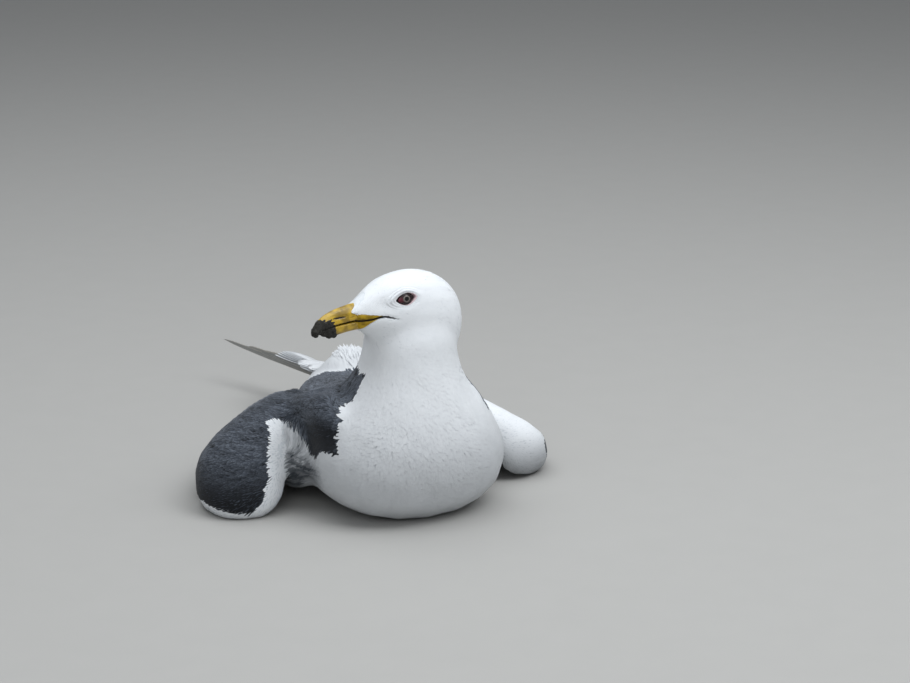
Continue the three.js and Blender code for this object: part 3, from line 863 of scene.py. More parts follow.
def shape_face(points):
    """Eye sockets, brow, lores and the crease of the mouth, on the head's skin."""
    rim = math.sqrt(sizes().eye_radius ** 2 - 0.0050**2) + 0.0003
    for side in SIDES:
        axis = eye_frame(side)[1]
        depth, radial, turn = eye_offsets(points, side)
        near = (radial < 0.016) & (depth > -0.006)
        target = rim - 0.005 * ramp(-radial, -0.0049, -0.0043)
        pull = ramp(-radial, -0.0095, -0.0056) * near
        # Fine folds of skin round the lids, deepest below and before the eye.
        low = np.clip(0.4 + 0.6 * np.cos(turn + 0.9), 0, 1)
        low *= ramp(radial, 0.0052, 0.006) * ramp(-radial, -0.0105, -0.0085)
        fold = np.cos((radial - 0.0052) * 2 * math.pi / 0.0017) * 0.0007 * low * near
        points = points + axis * (pull * (target - depth) + fold)[:, None]
    head = to_head(points)
    # The feathered flesh ends in a clean line where the upper bill begins.
    ahead = np.maximum((head - LORAL_PLACE) @ LORAL_SLOPE, 0) * ramp(head[:, 2], 0.003, 0.0046)
    head -= ahead[:, None] * LORAL_SLOPE
    x, y, z = head.T
    crease = np.exp(-bell(z, curve(MOUTH, x), 0.0016)) * ramp(x, 0.024, 0.034) * (np.abs(z) < 0.03)
    # Lores: a shallow dip between eye and bill. Brow: a low ridge over each eye.
    dip = np.exp(-bell(x, 0.036, 0.009) - bell(z, 0.009, 0.006)) * (np.abs(y) > 0.004)
    brow = np.exp(-bell(x, 0.020, 0.010) - bell(z, 0.0215, 0.0035)) * (np.abs(y) > 0.004)
    head[:, 1] -= np.sign(y) * (crease * 0.0009 + dip * 0.0016 - brow * 0.0012)
    return from_head(head)


def unwrapped(skin):
    """A lighter copy of the skin with an unwrap, to place the coat's patches on."""
    light = linked("unwrap", skin.data.copy())
    applied(light, "DECIMATE", ratio=min(1.0, 9000 / len(skin.data.polygons)))
    choose([light])
    bpy.ops.object.mode_set(mode="EDIT")
    bpy.ops.mesh.select_all(action="SELECT")
    bpy.ops.uv.smart_project(angle_limit=math.radians(66), island_margin=0.004)
    bpy.ops.object.mode_set(mode="OBJECT")
    surface = Surface(light.data)
    loops = read(light.data.loop_triangles, "loops", 3, int)
    surface.unwrap = read(light.data.uv_layers.active.data, "uv", 2)[loops]
    bpy.data.objects.remove(light)
    return surface


# ---------------------------------------------------------------- small feathers
# A small feather's rows from root to tip: share of its length, share of its width.
FEATHER_ROWS = [(0.0, 0.0), (0.3, 0.8), (0.62, 1.0), (0.86, 0.62), (1.0, 0.0)]
CROWN = 0.06  # height of the shaft over the edges, as a share of the width
PATCH = 0.003  # width of a feather's patch on the unwrap
LENGTH_BANDS = [0.0, 0.003, 0.005, 0.0075, 0.0107, 0.02]  # feathers of like length grow together


def feather_template():
    """A small closed feather lying along y: its object, its corners' places and its faces' sides."""
    spots = []
    rows = []
    for along, wide in FEATHER_ROWS:
        across = [-1.0, 0.0, 1.0] if wide else [0.0]
        rows.append(list(range(len(spots), len(spots) + len(across))))
        spots += [(along, v * wide, v) for v in across]
    top, under = [], []
    for a, b in zip(rows, rows[1:]):
        a, b = (row if len(row) > 1 else row * 3 for row in (a, b))
        top += [(a[0], a[1], b[1], b[0]), (a[1], a[2], b[2], b[1])]
        under.append((a[0], b[0], b[2], a[2]))
    spots = np.array(spots)
    points = np.stack([spots[:, 1] * 0.2, spots[:, 0], (spots[:, 2] == 0) * 0.02], 1)
    made = new_object("feather", points, [tuple(dict.fromkeys(face)) for face in top + under])
    mesh = made.data
    corners = read(mesh.loops, "vertex_index", 1, int)
    places = np.stack([0.5 + 0.5 * spots[corners, 2], spots[corners, 0]], 1)
    mesh.uv_layers.new(name="vane").data.foreach_set("uv", places.ravel())
    upper = [1.0 if face.index < len(top) else -1.0 for face in mesh.polygons for _ in face.vertices]
    return made, spots, corners, np.array(upper)


def feather_tree():
    """Geometry Nodes that root a feather wherever there is room on the skin."""
    tree = bpy.data.node_groups.new("feathers over skin", "GeometryNodeTree")
    inputs = {
        "Skin": "Geometry",
        "Spacing": "Float",
        "Most per square metre": "Float",
        "Seed": "Int",
        "Feather": "Object",
        "Finish": "Material",
    }
    for name, kind in inputs.items():
        tree.interface.new_socket(name, in_out="INPUT", socket_type="NodeSocket" + kind)
    tree.interface.new_socket("Coat", in_out="OUTPUT", socket_type="NodeSocketGeometry")
    add = partial(add_node, tree)
    skin, spacing, most, seed, feather, finish = (add("NodeGroupInput", out=name) for name in inputs)
    room = {"Mesh": skin, "Distance Min": spacing, "Density Max": most, "Seed": seed}
    roots = add("GeometryNodeDistributePointsOnFaces", named=room, distribute_method="POISSON")
    shape = add("GeometryNodeObjectInfo", named={"Object": feather}, out="Geometry")
    placed = {"Points": roots, "Instance": shape, "Scale": (0.001,) * 3}
    coat = add("GeometryNodeRealizeInstances", add("GeometryNodeInstanceOnPoints", named=placed))
    add("NodeGroupOutput", add("GeometryNodeSetMaterial", named={"Geometry": coat, "Material": finish}))
    return tree


def rooted(ground, spacing, seed):
    """Feathers rooted over a piece of skin, as a plain mesh object."""
    modifier = ground.modifiers.new("feathers", "NODES")
    modifier.node_group = built["tree"]
    values = {
        "Spacing": spacing,
        "Most per square metre": 2.5 / spacing**2,
        "Seed": seed,
        "Feather": built["feather"][0],
        "Finish": built["contour"],
    }
    for item in modifier.node_group.interface.items_tree:
        if item.in_out == "INPUT" and item.name in values:
            modifier[item.identifier] = values[item.name]
    ground.update_tag()
    return applied(ground)


def lay_feathers(coat, seed, width, scatter, stand):
    """Lays each rooted feather along the skin, rising to its tip, and gives it the coat's markings."""
    surface = built["surface"]
    _, spots, corners, upper = built["feather"]
    mesh = coat.data
    size = len(spots)
    points = read(mesh.vertices, "co", 3).reshape(-1, size, 3)
    roots = points[:, 0]
    count = len(roots)
    random = np.random.default_rng(seed)
    place, which, weights = surface.nearest(roots)
    named = ("length", "slate", "ruffle", "depth", "deep", "grey", "plumes", "streak")
    root = {name: surface.read(surface.fields[name], which, weights) for name in named}
    long = root["length"] * random.uniform(0.85, 1.2, count)
    # Ruffled, slate and loose feathers are narrower.
    wide = long * width * random.uniform(0.85, 1.15, count)
    wide *= (1 - 0.62 * root["ruffle"]) * (1 - 0.3 * root["slate"]) * (1 - 0.35 * root["plumes"])
    turn = random.normal(0, scatter, count) * (1 + 1.5 * root["ruffle"])
    bow = random.normal(0, scatter, count)
    lift = root["depth"] * random.uniform(0.93, 1.02, count)
    rise = stand * root["ruffle"] * (1 - root["slate"]) * long * random.uniform(0.3, 1.0, count)
    # The feather's line: where each row of it lies, the skin's normal there and the way it points.
    rows = {}
    last = 0.0
    for along, _ in FEATHER_ROWS:
        if along > 0:
            place = place + lie * ((along - last) * long)[:, None]
            place, which, weights = surface.nearest(place)
        normal = unit(surface.read(surface.normals, which, weights))
        lie = flattened(surface.read(surface.fields["lie"], which, weights), normal)
        angle = (turn + bow * (along - 0.5))[:, None]
        lie = lie * np.cos(angle) + np.cross(normal, lie) * np.sin(angle)
        rows[along] = place, normal, lie
        last = along
    shade = np.zeros((count, size, 3))
    for k, (along, across, side) in enumerate(spots):
        place, normal, lie = rows[along]
        aside = np.cross(lie, normal)
        shaft = wide * CROWN * (side == 0) * (0 < along < 1) * 0.5
        height = lift * (-0.2 + 1.2 * along**0.8) + rise * along**1.6 + shaft
        points[:, k] = place + aside * (across * wide / 2)[:, None] + normal * height[:, None]
        curl = (0.06 + 0.14 * root["slate"])[:, None] * side
        slope = (0.8 * along**0.6 * rise / long)[:, None]
        shade[:, k] = unit(normal + aside * curl - lie * slope)
    points[..., 2] = np.maximum(points[..., 2], 0.0004)
    move_points(mesh, points)
    mesh.normals_split_custom_set((shade[:, corners] * upper[None, :, None]).reshape(-1, 3).tolist())
    slate = (root["slate"] > random.uniform(0.3, 0.7, count)).astype(float)
    tone = np.clip(0.5 + 0.17 * root["streak"] + random.normal(0, 0.15, count), 0, 1)
    # grey: the field's painted shade and grey plumes, varied along the streaks.
    grey = root["grey"] * (1 + (0.02 + 0.13 * root["plumes"]) * root["streak"])
    # Tone falls with deep on slate feathers: painted shade under the right shoulder and low on the wings.
    marks = {"slate": slate, "tone": tone * (1 - root["deep"] * root["slate"]), "grey": np.clip(grey, 0, 1)}
    for name, values in marks.items():
        attribute(mesh, name, np.repeat(values, size))
    add_patches(mesh, roots, len(corners))


def add_patches(mesh, roots, repeats):
    """OFBake: each feather is a small patch at its root's place on the skin's unwrap."""
    surface = built["unwrap"]
    _, which, weights = surface.nearest(roots)
    middles = (surface.unwrap[which] * weights[..., None]).sum(1)
    places = read(mesh.uv_layers["vane"].data, "uv", 2)
    patch = np.repeat(middles, repeats, axis=0) + (places - 0.5) * PATCH
    mesh.uv_layers.new(name="OFBake").data.foreach_set("uv", patch.ravel())


def grow_coat(name, chosen, seed, slot="body_feathers", width=0.4, scatter=0.08, tighten=1.0, stand=0.2):
    """Covers the chosen triangles of the skin with feathers, in bands of like length."""
    surface = built["surface"]
    long = surface.mean("length")
    bare = surface.fields["bare"][surface.corners].max(1) > 0.5
    low = surface.points[surface.corners][:, :, 2].max(1) < 0.002
    pieces = []
    for number, (least, most) in enumerate(zip(LENGTH_BANDS, LENGTH_BANDS[1:])):
        picked = chosen & ~bare & ~low & (long >= least) & (long < most)
        if picked.sum() < 20:
            continue
        spacing = sizes().spacing_share * tighten * long[picked].mean() * 1.0
        used, faces = np.unique(surface.corners[picked], return_inverse=True)
        ground = new_object(f"{name}_{number}", surface.points[used], faces.reshape(-1, 3))
        coat = rooted(ground, spacing, seed + number)
        lay_feathers(coat, seed + number, width, scatter, stand)
        pieces.append(coat)
    finish_piece(joined(pieces, name), slot)


def finish_piece(piece, slot, *nodes):
    """Puts a finished piece on the CAD body, in place of its nodes."""
    if nodes:
        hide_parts(*nodes)
    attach(piece, "root")


# ---------------------------------------------------------------- quills
ACROSS = np.array([-1.0, -0.6, -0.06, 0.06, 0.6, 1.0])  # places across a vane
RAISED = np.array([0.0, 0.25, 1.0, 1.0, 0.25, 0.0])  # how far the shaft raises them


def vane_mesh(lines, asides, normals, widths, thick, offset):
    """A closed thin feather along a line, with a raised shaft; offset moves the shaft off its middle."""
    wide = len(ACROSS)
    shift = (ACROSS + offset * (1 - ACROSS**2))[None, :, None]
    flat = lines[:, None] + asides[:, None] * (shift * widths[:, None, None] / 2)
    layers = []
    for sign, high in ((1, 1.0), (-1, 0.35)):
        level = (RAISED * high + 0.25)[None, :, None] * thick[:, None, None]
        layers.append(flat + normals[:, None] * (sign * level))
    upper, lower = np.arange(2 * len(lines) * wide).reshape(2, -1, wide)
    sides = np.stack([lower[:, 0], upper[:, 0]], 1), np.stack([upper[:, -1], lower[:, -1]], 1)
    ends = np.stack([upper[0], lower[0]]), np.stack([lower[-1], upper[-1]])
    faces = [face for rows in (upper, lower, *sides, *ends) for face in grid_faces(rows)]
    return np.concatenate(layers).reshape(-1, 3), faces


def quill_width(u, rounding, base):
    """A quill's width along it: narrow at the base, then even, and round over its last share."""
    end = np.sqrt(np.clip(1 - ((u - (1 - rounding)) / rounding).clip(0, 1) ** 2, 0.0025, 1))
    return (base + (1 - base) * ramp(u, 0.0, 0.3)) * end


def quill(
    line,
    aside,
    normal,
    width,
    seed,
    dark=0.5,
    white=0.0,
    rounding=0.16,
    base=0.35,
    thick=0.0007,
    offset=0.0,
    sag=0.0,
):
    """One quill along a line: its points, faces and markings. White is the share of its white tip."""
    u = np.linspace(0, 1, len(line))
    random = np.random.default_rng(seed)
    ripple = 1 + 0.03 * np.sin(u * random.uniform(20, 50) + random.uniform(0, 6))
    widths = width * quill_width(u, rounding, base) * ripple
    points, faces = vane_mesh(line, aside, normal, widths, np.interp(u, [0, 1], [thick, 0.00025]), offset)
    along = np.tile(np.repeat(u, len(ACROSS)), 2)
    across = np.tile(ACROSS, 2 * len(u))
    droop = sag * across**2 * np.interp(along, [0, 1], [0.5, 1.0]) * width
    points -= np.tile(np.repeat(normal, len(ACROSS), axis=0), (2, 1)) * droop[:, None]
    points[:, 2] = np.maximum(points[:, 2], 0.0003)
    marks = {
        "dark": np.full(len(along), dark),
        "tip": np.full(len(along), 1 - white if white else 2.0),
        "under": np.repeat([0.0, 1.0], len(along) // 2),
    }
    return points, faces, np.stack([0.5 + 0.5 * across, along], 1), marks, line[0]


def join_quills(name, feathers, slot, *nodes):
    """Joins quills into one finished piece."""
    points, faces, places, marks, roots = zip(*feathers)
    starts = np.cumsum([0] + [len(part) for part in points])
    shifted = [tuple(i + start for i in face) for part, start in zip(faces, starts) for face in part]
    piece = new_object(name, np.concatenate(points), shifted, built["flight"])
    mesh = piece.data
    face_outwards(mesh)
    for key in marks[0]:
        attribute(mesh, key, np.concatenate([part[key] for part in marks]))
    corners = read(mesh.loops, "vertex_index", 1, int)
    mesh.uv_layers.new(name="vane").data.foreach_set("uv", np.concatenate(places)[corners].ravel())
    of_root = np.repeat(np.arange(len(roots)), [len(part) for part in points])
    add_patches(mesh, np.array(roots)[of_root][corners], 1)
    finish_piece(piece, slot, *nodes)


def straight_quill(root, tip, aside, bend, rows, **rest):
    """A quill from root to tip, bent by a height in its middle."""
    u = np.linspace(0, 1, rows)[:, None]
    aside = unit(np.asarray(aside, float))
    normal = unit(np.cross(unit(tip - root), aside))
    line = root + (tip - root) * u + normal * (4 * u * (1 - u) * bend)
    slope = unit(np.gradient(line, axis=0))
    normals = unit(np.cross(slope, aside[None]))
    return quill(line, np.cross(normals, slope), normals, **rest)


def draped_quill(root, long, rise, toward, sink, **rest):
    """A quill that follows the skin towards a place and rises to its tip.

    Where the skin turns away under it, it runs straight on."""
    surface = built["surface"]
    place = np.array([root])
    heading = unit(toward - place)
    rows = 14
    step = long / (rows - 1)
    line, normals = [], []
    for i in range(rows):
        found, which, weights = surface.nearest(place)
        if i and ((place - found) * lie).sum() > 0.3 * step:
            found = place
        else:
            normal = unit(surface.read(surface.normals, which, weights))
            lie = flattened(heading, normal)
        line.append((found + normal * (rise * i / (rows - 1) - sink))[0])
        normals.append(normal[0])
        place = found + lie * step
    line, normals = np.array(line), np.array(normals)
    for _ in range(3):
        line[1:-1] = (line[:-2] + line[1:-1] * 2 + line[2:]) / 4
        normals[1:-1] = unit(normals[:-2] + normals[1:-1] * 2 + normals[2:])
    slope = unit(np.gradient(line, axis=0))
    asides = unit(np.cross(slope, normals))
    return quill(line, asides, unit(np.cross(asides, slope)), **rest)


# The part is drawn round its own zero, and then moved so that the middle of its outline is at the origin.
SHIFT = np.array([0.36, -116.22, 0.0]) * MM
# The folded hands in mm, as the part is drawn.
BLADES = {
    "right": {"root": (-124, 31, 3), "tip": (94, 303, 4), "up": (0.6, 0.2, 0.77), "width": 58, "lift": 3.5},
    "left": {"root": (127, 40, 10), "tip": (-12, 357, 40), "up": (-0.55, 0, 0.83), "width": 54, "lift": 0.5},
}


def build_primaries(side):
    """Ten stepped primaries in the folded hand."""
    blade = BLADES[side]
    root, tip = (np.array(blade[end]) * MM + SHIFT for end in ("root", "tip"))
    up = unit(np.array(blade["up"]))
    outward = unit(np.cross(tip - root, up)) * SIDES[side]
    feathers = []
    for k in range(10):
        reach = 1 - 0.072 * k - (0.03 if k else 0) - (0.02 if k > 2 else 0)
        blade_width = blade["width"] * MM * (1 - reach) ** 0.9 * (1 - 0.25 * reach)
        end = root + (tip - root) * reach + up * (blade_width * 0.8 + blade["lift"] * MM)
        start = root + (tip - root) * 0.1 + up * (0.006 + 0.0042 * k)
        layer = outward * (0.0024 - 0.00055 * k)
        width = sizes().primary_width * (0.42, 0.62, 0.72, 0.8)[min(k, 3)]
        look = {"rounding": 0.22, "base": 0.5, "offset": -0.35 * SIDES[side], "thick": 0.0006}
        look |= {"white": 0.03 if k else 0.01, "dark": 1.0 - 0.03 * k}
        line = (start + layer, end + layer, up * SIDES[side], -0.002, 26)
        feathers.append(straight_quill(*line, width=width, seed=k, **look))
    join_quills(f"primaries_{side}", feathers, "flight_feathers", f"wing_{side}_primaries")


def wing_root(side, angle, y):
    """A place on the wing's outer face, found by looking in towards the body at an angle over the floor."""
    sign = SIDES[side]
    centre = np.array([sign * 0.035, y, 0.0])
    out = np.array([sign * math.cos(angle), 0, math.sin(angle)])
    return np.array(built["surface"].tree.ray_cast(Vector(centre + out * 0.3), Vector(-out))[0])


# Rows of quills on the wing. A length of 0 reaches to the hand.
WING_ROWS = [
    {"y": -0.048, "count": 14, "long": 0.0, "width": 0.0165, "rise": 0.0012, "white": 0.07, "dark": 0.62},
    {"y": -0.066, "count": 17, "long": 0.062, "width": 0.015, "rise": 0.0020, "white": 0.0, "dark": 0.5},
    {"y": -0.082, "count": 19, "long": 0.042, "width": 0.0125, "rise": 0.0024, "white": 0.0, "dark": 0.5},
]


def build_wing_quills(side):
    """Secondaries, greater coverts and tertials over the rear of the folded wing."""
    sign = SIDES[side]
    random = np.random.default_rng(40 + sign)
    outer, inner = np.array([sign * 0.070, 0.072, 0.005]), np.array([sign * 0.036, 0.064, 0.030])
    feathers = []
    for row in WING_ROWS:
        for k in range(row["count"]):
            # Each quill lies a little over the one outside it.
            part = (k + 0.5) / row["count"]
            hand = outer + (inner - outer) * part
            root = wing_root(side, math.radians(4 + 62 * part), row["y"] + random.normal(0, 0.0007))
            long = (row["long"] or np.linalg.norm(hand - root)) * random.uniform(0.98, 1.02)
            look = {"white": row["white"], "dark": row["dark"], "rounding": 0.2, "sag": 0.06}
            look |= {"seed": 100 + k, "width": row["width"] * random.uniform(0.95, 1.05)}
            feathers.append(draped_quill(root, long, row["rise"] + 0.0026 * part, hand, 0.0004, **look))
    # Tertials: the longest lie over the folded wing, with broad white ends.
    for k in range(4):
        root = wing_root(side, math.radians(52 + 7 * k), -0.062 + 0.002 * k)
        end = inner + np.array([sign * (0.012 - 0.006 * k), 0.02, 0.004 + 0.006 * k])
        look = {"width": 0.018, "white": 0.13, "dark": 0.45, "rounding": 0.3, "sag": 0.08, "seed": 200 + k}
        feathers.append(draped_quill(root, 0.086 - 0.011 * k, 0.0044 + 0.0007 * k, end, 0.0006, **look))
    join_quills(f"wing_quills_{side}", feathers, "mantle_feathers")


# A long and a short row above the tail and a row below: quills, length, height and how far back they root.
TAIL_COVERTS = [(9, 0.062, 0.0065, 0.012), (8, 0.044, 0.009, 0.022), (8, 0.055, -0.0065, 0.012)]


def build_tail():
    """Twelve white tail feathers in a closed fan, with coverts over and under their bases."""
    root, tip = (np.array(end) * MM + SHIFT for end in ((22, 140, 64), (27, 258, 48)))
    feathers = []
    for k in range(12):
        across = (k - 5.5) / 5.5
        start = root + [across * 0.012, 0, -0.002 * across**2 - 0.004 * across]
        end = tip + [across * 0.0215, -0.012 * across**2, -0.0035 * across**2 - 0.008 * across]
        layer = np.array([0, 0, 0.0014 * (1 - abs(across))])
        line = (start + layer, end + layer, [1, 0, -0.36 - 0.06 * across], 0.0015, 18)
        look = {"width": 0.0165, "rounding": 0.1, "base": 0.5, "dark": 0.0, "sag": 0.03, "thick": 0.0005}
        feathers.append(straight_quill(*line, seed=300 + k, **look))
    for count, long, lift, back in TAIL_COVERTS:
        for k, across in enumerate(np.linspace(-1, 1, count)):
            start = root + [across * 0.013, -back, lift * (1 - 0.5 * across**2) - 0.004 * across]
            end = start + [across * 0.006, long, -0.17 * long - lift * 0.35 - 0.003 * across]
            line = (start, end, [1, 0, -0.35 * across], 0.001 * np.sign(lift), 8)
            look = {"width": 0.012, "rounding": 0.35, "base": 0.4, "dark": 0.0, "sag": 0.08, "thick": 0.0004}
            feathers.append(straight_quill(*line, seed=340 + k, **look))
    join_quills("tail_feathers", feathers, "body_feathers", "tail")


# ---------------------------------------------------------------- bill
def build_bill(half):
    """One half of the bill: its CAD shape made fine, with nostril, ridge and a root under the skin."""
    name = f"bill_{half}"
    bill = applied(cad_copy(name), "REMESH", mode="VOXEL", voxel_size=0.0005)
    bill.name = bill.data.name = name + "_horn"
    mesh = bill.data
    points = smoothed(read(mesh.vertices, "co", 3), read(mesh.edges, "vertices", 2, int), 0.5, 12)
    head = to_head(points)
    x, y, z = head.T
    # The root runs back under the feathers.
    skull = cad_copy("head")
    away = Surface(skull.data).distance(points)
    bpy.data.objects.remove(skull)
    head[:, 0] -= ramp(-away, -0.0016, -0.0004) * 0.004
    flank = np.sign(y) * (np.abs(y) > 0.0015)
    # groove: the mouth's dark painted along the line between the halves, and in the nostril's slit below:
    # painted shade in these slits.
    groove = ramp(-np.abs(z - curve(MOUTH, x)), -0.0007, -0.0003)
    if half == "upper":
        # Nostril: a slit in a shallow hollow.
        line = 0.0024 - 0.02 * (x - 0.073)
        slit = ramp(-bell(x, 0.0730, 0.0062) - bell(z, line, 0.00075), -1.15, -0.6) * np.abs(flank)
        hollow = np.exp(-bell(x, 0.072, 0.009) - bell(z, line, 0.0024))
        head[:, 1] -= flank * (slit * 0.0011 + hollow * 0.0005)
        groove = np.maximum(slit, groove)
    else:
        head[:, 1] -= flank * np.exp(-bell(z, -0.0068, 0.0016)) * (x < 0.08) * 0.00025
    # Wet sand cakes the tip up to a slanting line, and hangs thickest below.
    top = np.interp(x, [0.079, 0.089, 0.095], [0.0012, 0.0026, 0.0036])
    sand = np.minimum(x - 0.0786 - 0.35 * z, top - z) + 0.0012 * wobble(head, 0.004, 9)
    lump = ramp(sand, -0.0004, 0.0018)
    thick = (0.0005 + 0.0012 * ramp(-z, 0.002, 0.008)) * (1 + 0.5 * wobble(head, 0.003, 10))
    head[:, 0] += (half == "lower") * 0.003 * lump * ramp(x, 0.086, 0.092)
    move_points(mesh, from_head(head) + read(mesh.vertices, "normal", 3) * (lump * thick)[:, None])
    attribute(mesh, "groove", groove)
    attribute(mesh, "sand", ramp(sand, -0.0006, 0.0006))
    mesh.materials.append(built["bill"])
    finish_piece(bill, "bill_horn", name)


# ---------------------------------------------------------------- eyes
def finish_round(name, points, faces, finish, marks, *nodes):
    """A closed piece of the eye, with its attributes."""
    piece = new_object(name, points, faces, finish)
    for key, values in marks.items():
        attribute(piece.data, key, values)
    face_outwards(piece.data, 1e-7)
    finish_piece(piece, "eye", *nodes)


def build_eye(side):
    """An eyeball with a bulging cornea, rings of vertices round the axis of sight."""
    centre, axis, forward, upward = eye_frame(side)
    radius = sizes().eye_radius
    rim = math.asin(sizes().iris_radius / radius)
    polar = np.concatenate([np.linspace(0, rim, 12)[1:], np.linspace(rim, math.pi, 22)[1:-1]])[:, None]
    turn = np.arange(40) / 40 * 2 * math.pi
    bulge = 0.035 * np.maximum(0, 1 - (polar / (rim * 1.15)) ** 2)
    flat = np.outer(np.cos(turn), forward) + np.outer(np.sin(turn), upward)
    rays = axis * np.cos(polar)[..., None] + flat * np.sin(polar)[..., None]
    points = centre + radius * (1 + bulge)[..., None] * rays
    poles = centre + radius * np.outer([1.035, -1], axis)
    rings = np.arange(len(polar) * len(turn)).reshape(len(polar), -1)
    faces = grid_faces(np.pad(rings, ((0, 0), (0, 1)), "wrap"))
    for pole, ring in enumerate((rings[0], rings[-1])):
        faces += [(rings.size + pole, *pair) for pair in zip(ring.tolist(), np.roll(ring, -1).tolist())]
    marks = {
        "polar": [*np.repeat(np.sin(np.minimum(polar, math.pi / 2)) / math.sin(rim), len(turn)), 0.0, 2.0],
        "turn": [*np.tile(np.abs(turn - math.pi), len(polar)), 1.0, 1.0],
    }
    points = np.concatenate([points.reshape(-1, 3), poles])
    finish_round(f"eyeball_{side}", points, faces, built["eye"], marks, f"eye_{side}")


def build_lids(side):
    """The bare ring round the eye: a soft fold with pointed corners, open over the eyeball."""
    centre, axis, forward, upward = eye_frame(side)
    turn, angle = (2 * math.pi * np.arange(count) / count for count in (64, 10))
    front, rear = np.maximum(0, np.cos(turn)) ** 9, np.maximum(0, -np.cos(turn)) ** 14
    opening = LID_OPENING + 0.0003 * front + 0.0006 * rear
    fold = LID_FOLD + 0.0011 * front + 0.0010 * rear
    reach = opening[:, None] + fold[:, None] * (1 + np.cos(angle))
    ball = np.sqrt(np.maximum(sizes().eye_radius ** 2 - reach**2, 0.0055**2))
    depth = ball + 0.0001 + 0.0005 * np.sin(angle)
    outward = (np.outer(np.cos(turn), forward) + np.outer(np.sin(turn), upward))[:, None]
    points = centre + outward * reach[..., None] + axis * depth[..., None]
    rings = np.arange(reach.size).reshape(reach.shape)
    faces = grid_faces(np.pad(rings, ((0, 1), (0, 1)), "wrap"))
    marks = {"flesh": np.repeat(front, len(angle))}
    finish_round(f"orbital_ring_{side}", points.reshape(-1, 3), faces, built["ring"], marks)


# ---------------------------------------------------------------- operators
class GULL_OT_stage(bpy.types.Operator):
    """Pale floor, soft light and the camera"""

    bl_idname = "gull.stage"
    bl_label = "Stage"

    def execute(self, context):
        scene = context.scene
        scene.view_settings.view_transform = "Standard"
        floor = new_object("floor", [(-6, -6, 0), (6, -6, 0), (6, 6, 0), (-6, 6, 0)], [(0, 1, 2, 3)])
        made, add, _ = material("studio floor", Roughness=0.9)
        pale = scene.gull_colours.floor
        uneven = layered(pale, (mottle(add, 30.0), [c * 0.96 for c in pale]))
        floor.data.materials.append(finished(made, uneven))
        scene.world = bpy.data.worlds.new("studio")
        scene.world.use_nodes = True
        sky = scene.world.node_tree.nodes["Background"].inputs
        sky["Color"].default_value = (0.86, 0.9, 0.95, 1)
        sky["Strength"].default_value = 0.3
        for name, place, size, power in (
            ("key", (0.75, -1.1, 1.9), 1.3, 25.5),
            ("top", (-0.2, 0.1, 2.2), 2.0, 29.5),
            ("fill", (-0.9, -1.9, 1.3), 1.2, 9.5),
        ):
            light = bpy.data.lights.new(name, "AREA")
            light.size, light.energy, light.color = size, power, (0.95, 0.975, 1.0)
            lamp = linked(name, light)
            lamp.location = place
            aim = Vector((0, -0.1, 0.08)) - Vector(place)
            lamp.rotation_euler = aim.to_track_quat("-Z", "Y").to_euler()
        camera = bpy.data.cameras.new("camera")
        camera.lens, camera.sensor_width, camera.clip_start = 94.95, 36.0, 0.05
        scene.camera = linked("camera", camera)
        scene.camera.location = (-0.7701, -1.9306, 0.6914)
        scene.camera.rotation_euler = (math.radians(74.1), 0, math.radians(-25))
        return {"FINISHED"}


class GULL_OT_skin(bpy.types.Operator):
    """One skin through trunk, neck, head and wings"""

    bl_idname = "gull.skin"
    bl_label = "Skin"

    def execute(self, context):
        skin, built["surface"] = build_skin()
        built["unwrap"] = unwrapped(skin)
        skin.data.materials.clear()
        skin.data.materials.append(bird_skin(context.scene.gull_colours))
        nodes = [name for names in FLESH.values() for name in names if not name.startswith("eye")]
        finish_piece(skin, "body_feathers", *nodes)
        return {"FINISHED"}


class GULL_OT_coat(bpy.types.Operator):
    """Small feathers over head, neck, body and wings"""

    bl_idname = "gull.coat"
    bl_label = "Coat"

    def execute(self, context):
        surface = built["surface"]
        built["contour"] = contour_feather(context.scene.gull_colours)
        built["feather"] = feather_template()
        built["tree"] = feather_tree()
        head, right, left = (surface.mean(name) > 0.5 for name in ("head", "wing_right", "wing_left"))
        middle = surface.points[surface.corners].mean(1)
        body = ~(head | right | left)
        front = middle[:, 1] < -0.15
        high = middle[:, 2] > 0.1
        ruffled = body & (surface.mean("ruffle") > 0.25)
        grow_coat("coat_head", head, 11, scatter=0.1)
        grow_coat("coat_neck", body & front & high, 61, tighten=0.8)
        grow_coat("coat_breast", body & front & ~high, 21, tighten=0.85)
        grow_coat("coat_rump", ruffled, 71, width=0.36, stand=0.65, tighten=0.5)
        grow_coat("coat_body", body & ~front & ~ruffled, 31, width=0.36, stand=0.65)
        grow_coat("coat_wing_right", right, 41, "mantle_feathers", width=0.32, tighten=1.22)
        grow_coat("coat_wing_left", left, 51, "mantle_feathers", width=0.32, tighten=1.06)
        bpy.data.objects.remove(built["feather"][0])
        return {"FINISHED"}


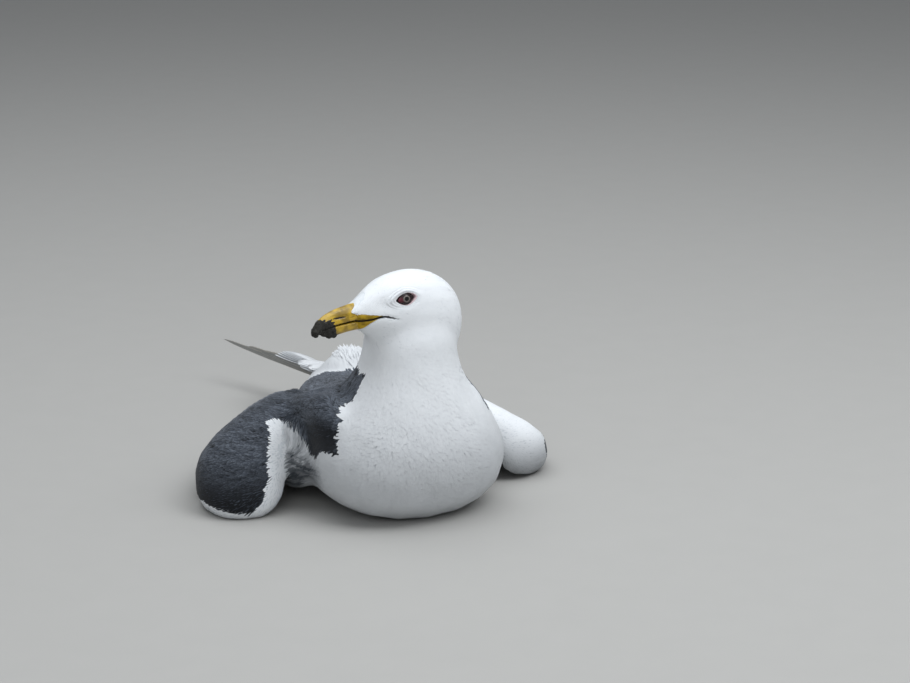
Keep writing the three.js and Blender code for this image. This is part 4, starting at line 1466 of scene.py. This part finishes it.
class GULL_OT_quills(bpy.types.Operator):
    """Primaries, secondaries, tertials and tail feathers"""

    bl_idname = "gull.quills"
    bl_label = "Quills"

    def execute(self, context):
        built["flight"] = flight_feather(context.scene.gull_colours)
        for side in SIDES:
            build_primaries(side)
            build_wing_quills(side)
        build_tail()
        return {"FINISHED"}


class GULL_OT_face(bpy.types.Operator):
    """Bill, eyeballs and orbital rings"""

    bl_idname = "gull.face"
    bl_label = "Bill and eyes"

    def execute(self, context):
        makers = {"bill": bill_horn, "eye": eye_surface, "ring": lid_flesh}
        built.update({name: maker(context.scene.gull_colours) for name, maker in makers.items()})
        for half in ("upper", "lower"):
            build_bill(half)
        for side in SIDES:
            build_eye(side)
            build_lids(side)
        return {"FINISHED"}


class GULL_OT_legs(bpy.types.Operator):
    """Leathery skin on the legs"""

    bl_idname = "gull.legs"
    bl_label = "Legs"

    def execute(self, context):
        finish = leg_skin(context.scene.gull_colours)
        for name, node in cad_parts.items():
            if name.startswith(("foot", "shank")):
                for slot in node.material_slots:
                    slot.material = finish
        return {"FINISHED"}


class GULL_PT_panel(bpy.types.Panel):
    """Sizes, colours and pieces of the gull"""

    bl_idname = "GULL_PT_panel"
    bl_label = "Resting gull"
    bl_space_type = "VIEW_3D"
    bl_region_type = "UI"
    bl_category = "Gull"

    def draw(self, context):
        for operator in OPERATORS:
            self.layout.operator(operator.bl_idname)
        for group in (context.scene.gull_sizes, context.scene.gull_colours):
            for name in group.__annotations__:
                self.layout.prop(group, name)


OPERATORS = (GULL_OT_stage, GULL_OT_skin, GULL_OT_coat, GULL_OT_quills, GULL_OT_face, GULL_OT_legs)
CLASSES = (GullSizes, GullColours, *OPERATORS, GULL_PT_panel)


def register():
    for item in CLASSES:
        bpy.utils.register_class(item)
    bpy.types.Scene.gull_sizes = bpy.props.PointerProperty(type=GullSizes)
    bpy.types.Scene.gull_colours = bpy.props.PointerProperty(type=GullColours)


def unregister():
    del bpy.types.Scene.gull_sizes
    del bpy.types.Scene.gull_colours
    for item in reversed(CLASSES):
        bpy.utils.unregister_class(item)


def main():
    register()
    bpy.ops.gull.stage()
    bpy.ops.gull.skin()
    bpy.ops.gull.coat()
    bpy.ops.gull.quills()
    bpy.ops.gull.face()
    bpy.ops.gull.legs()


if __name__ == "__main__":
    main()
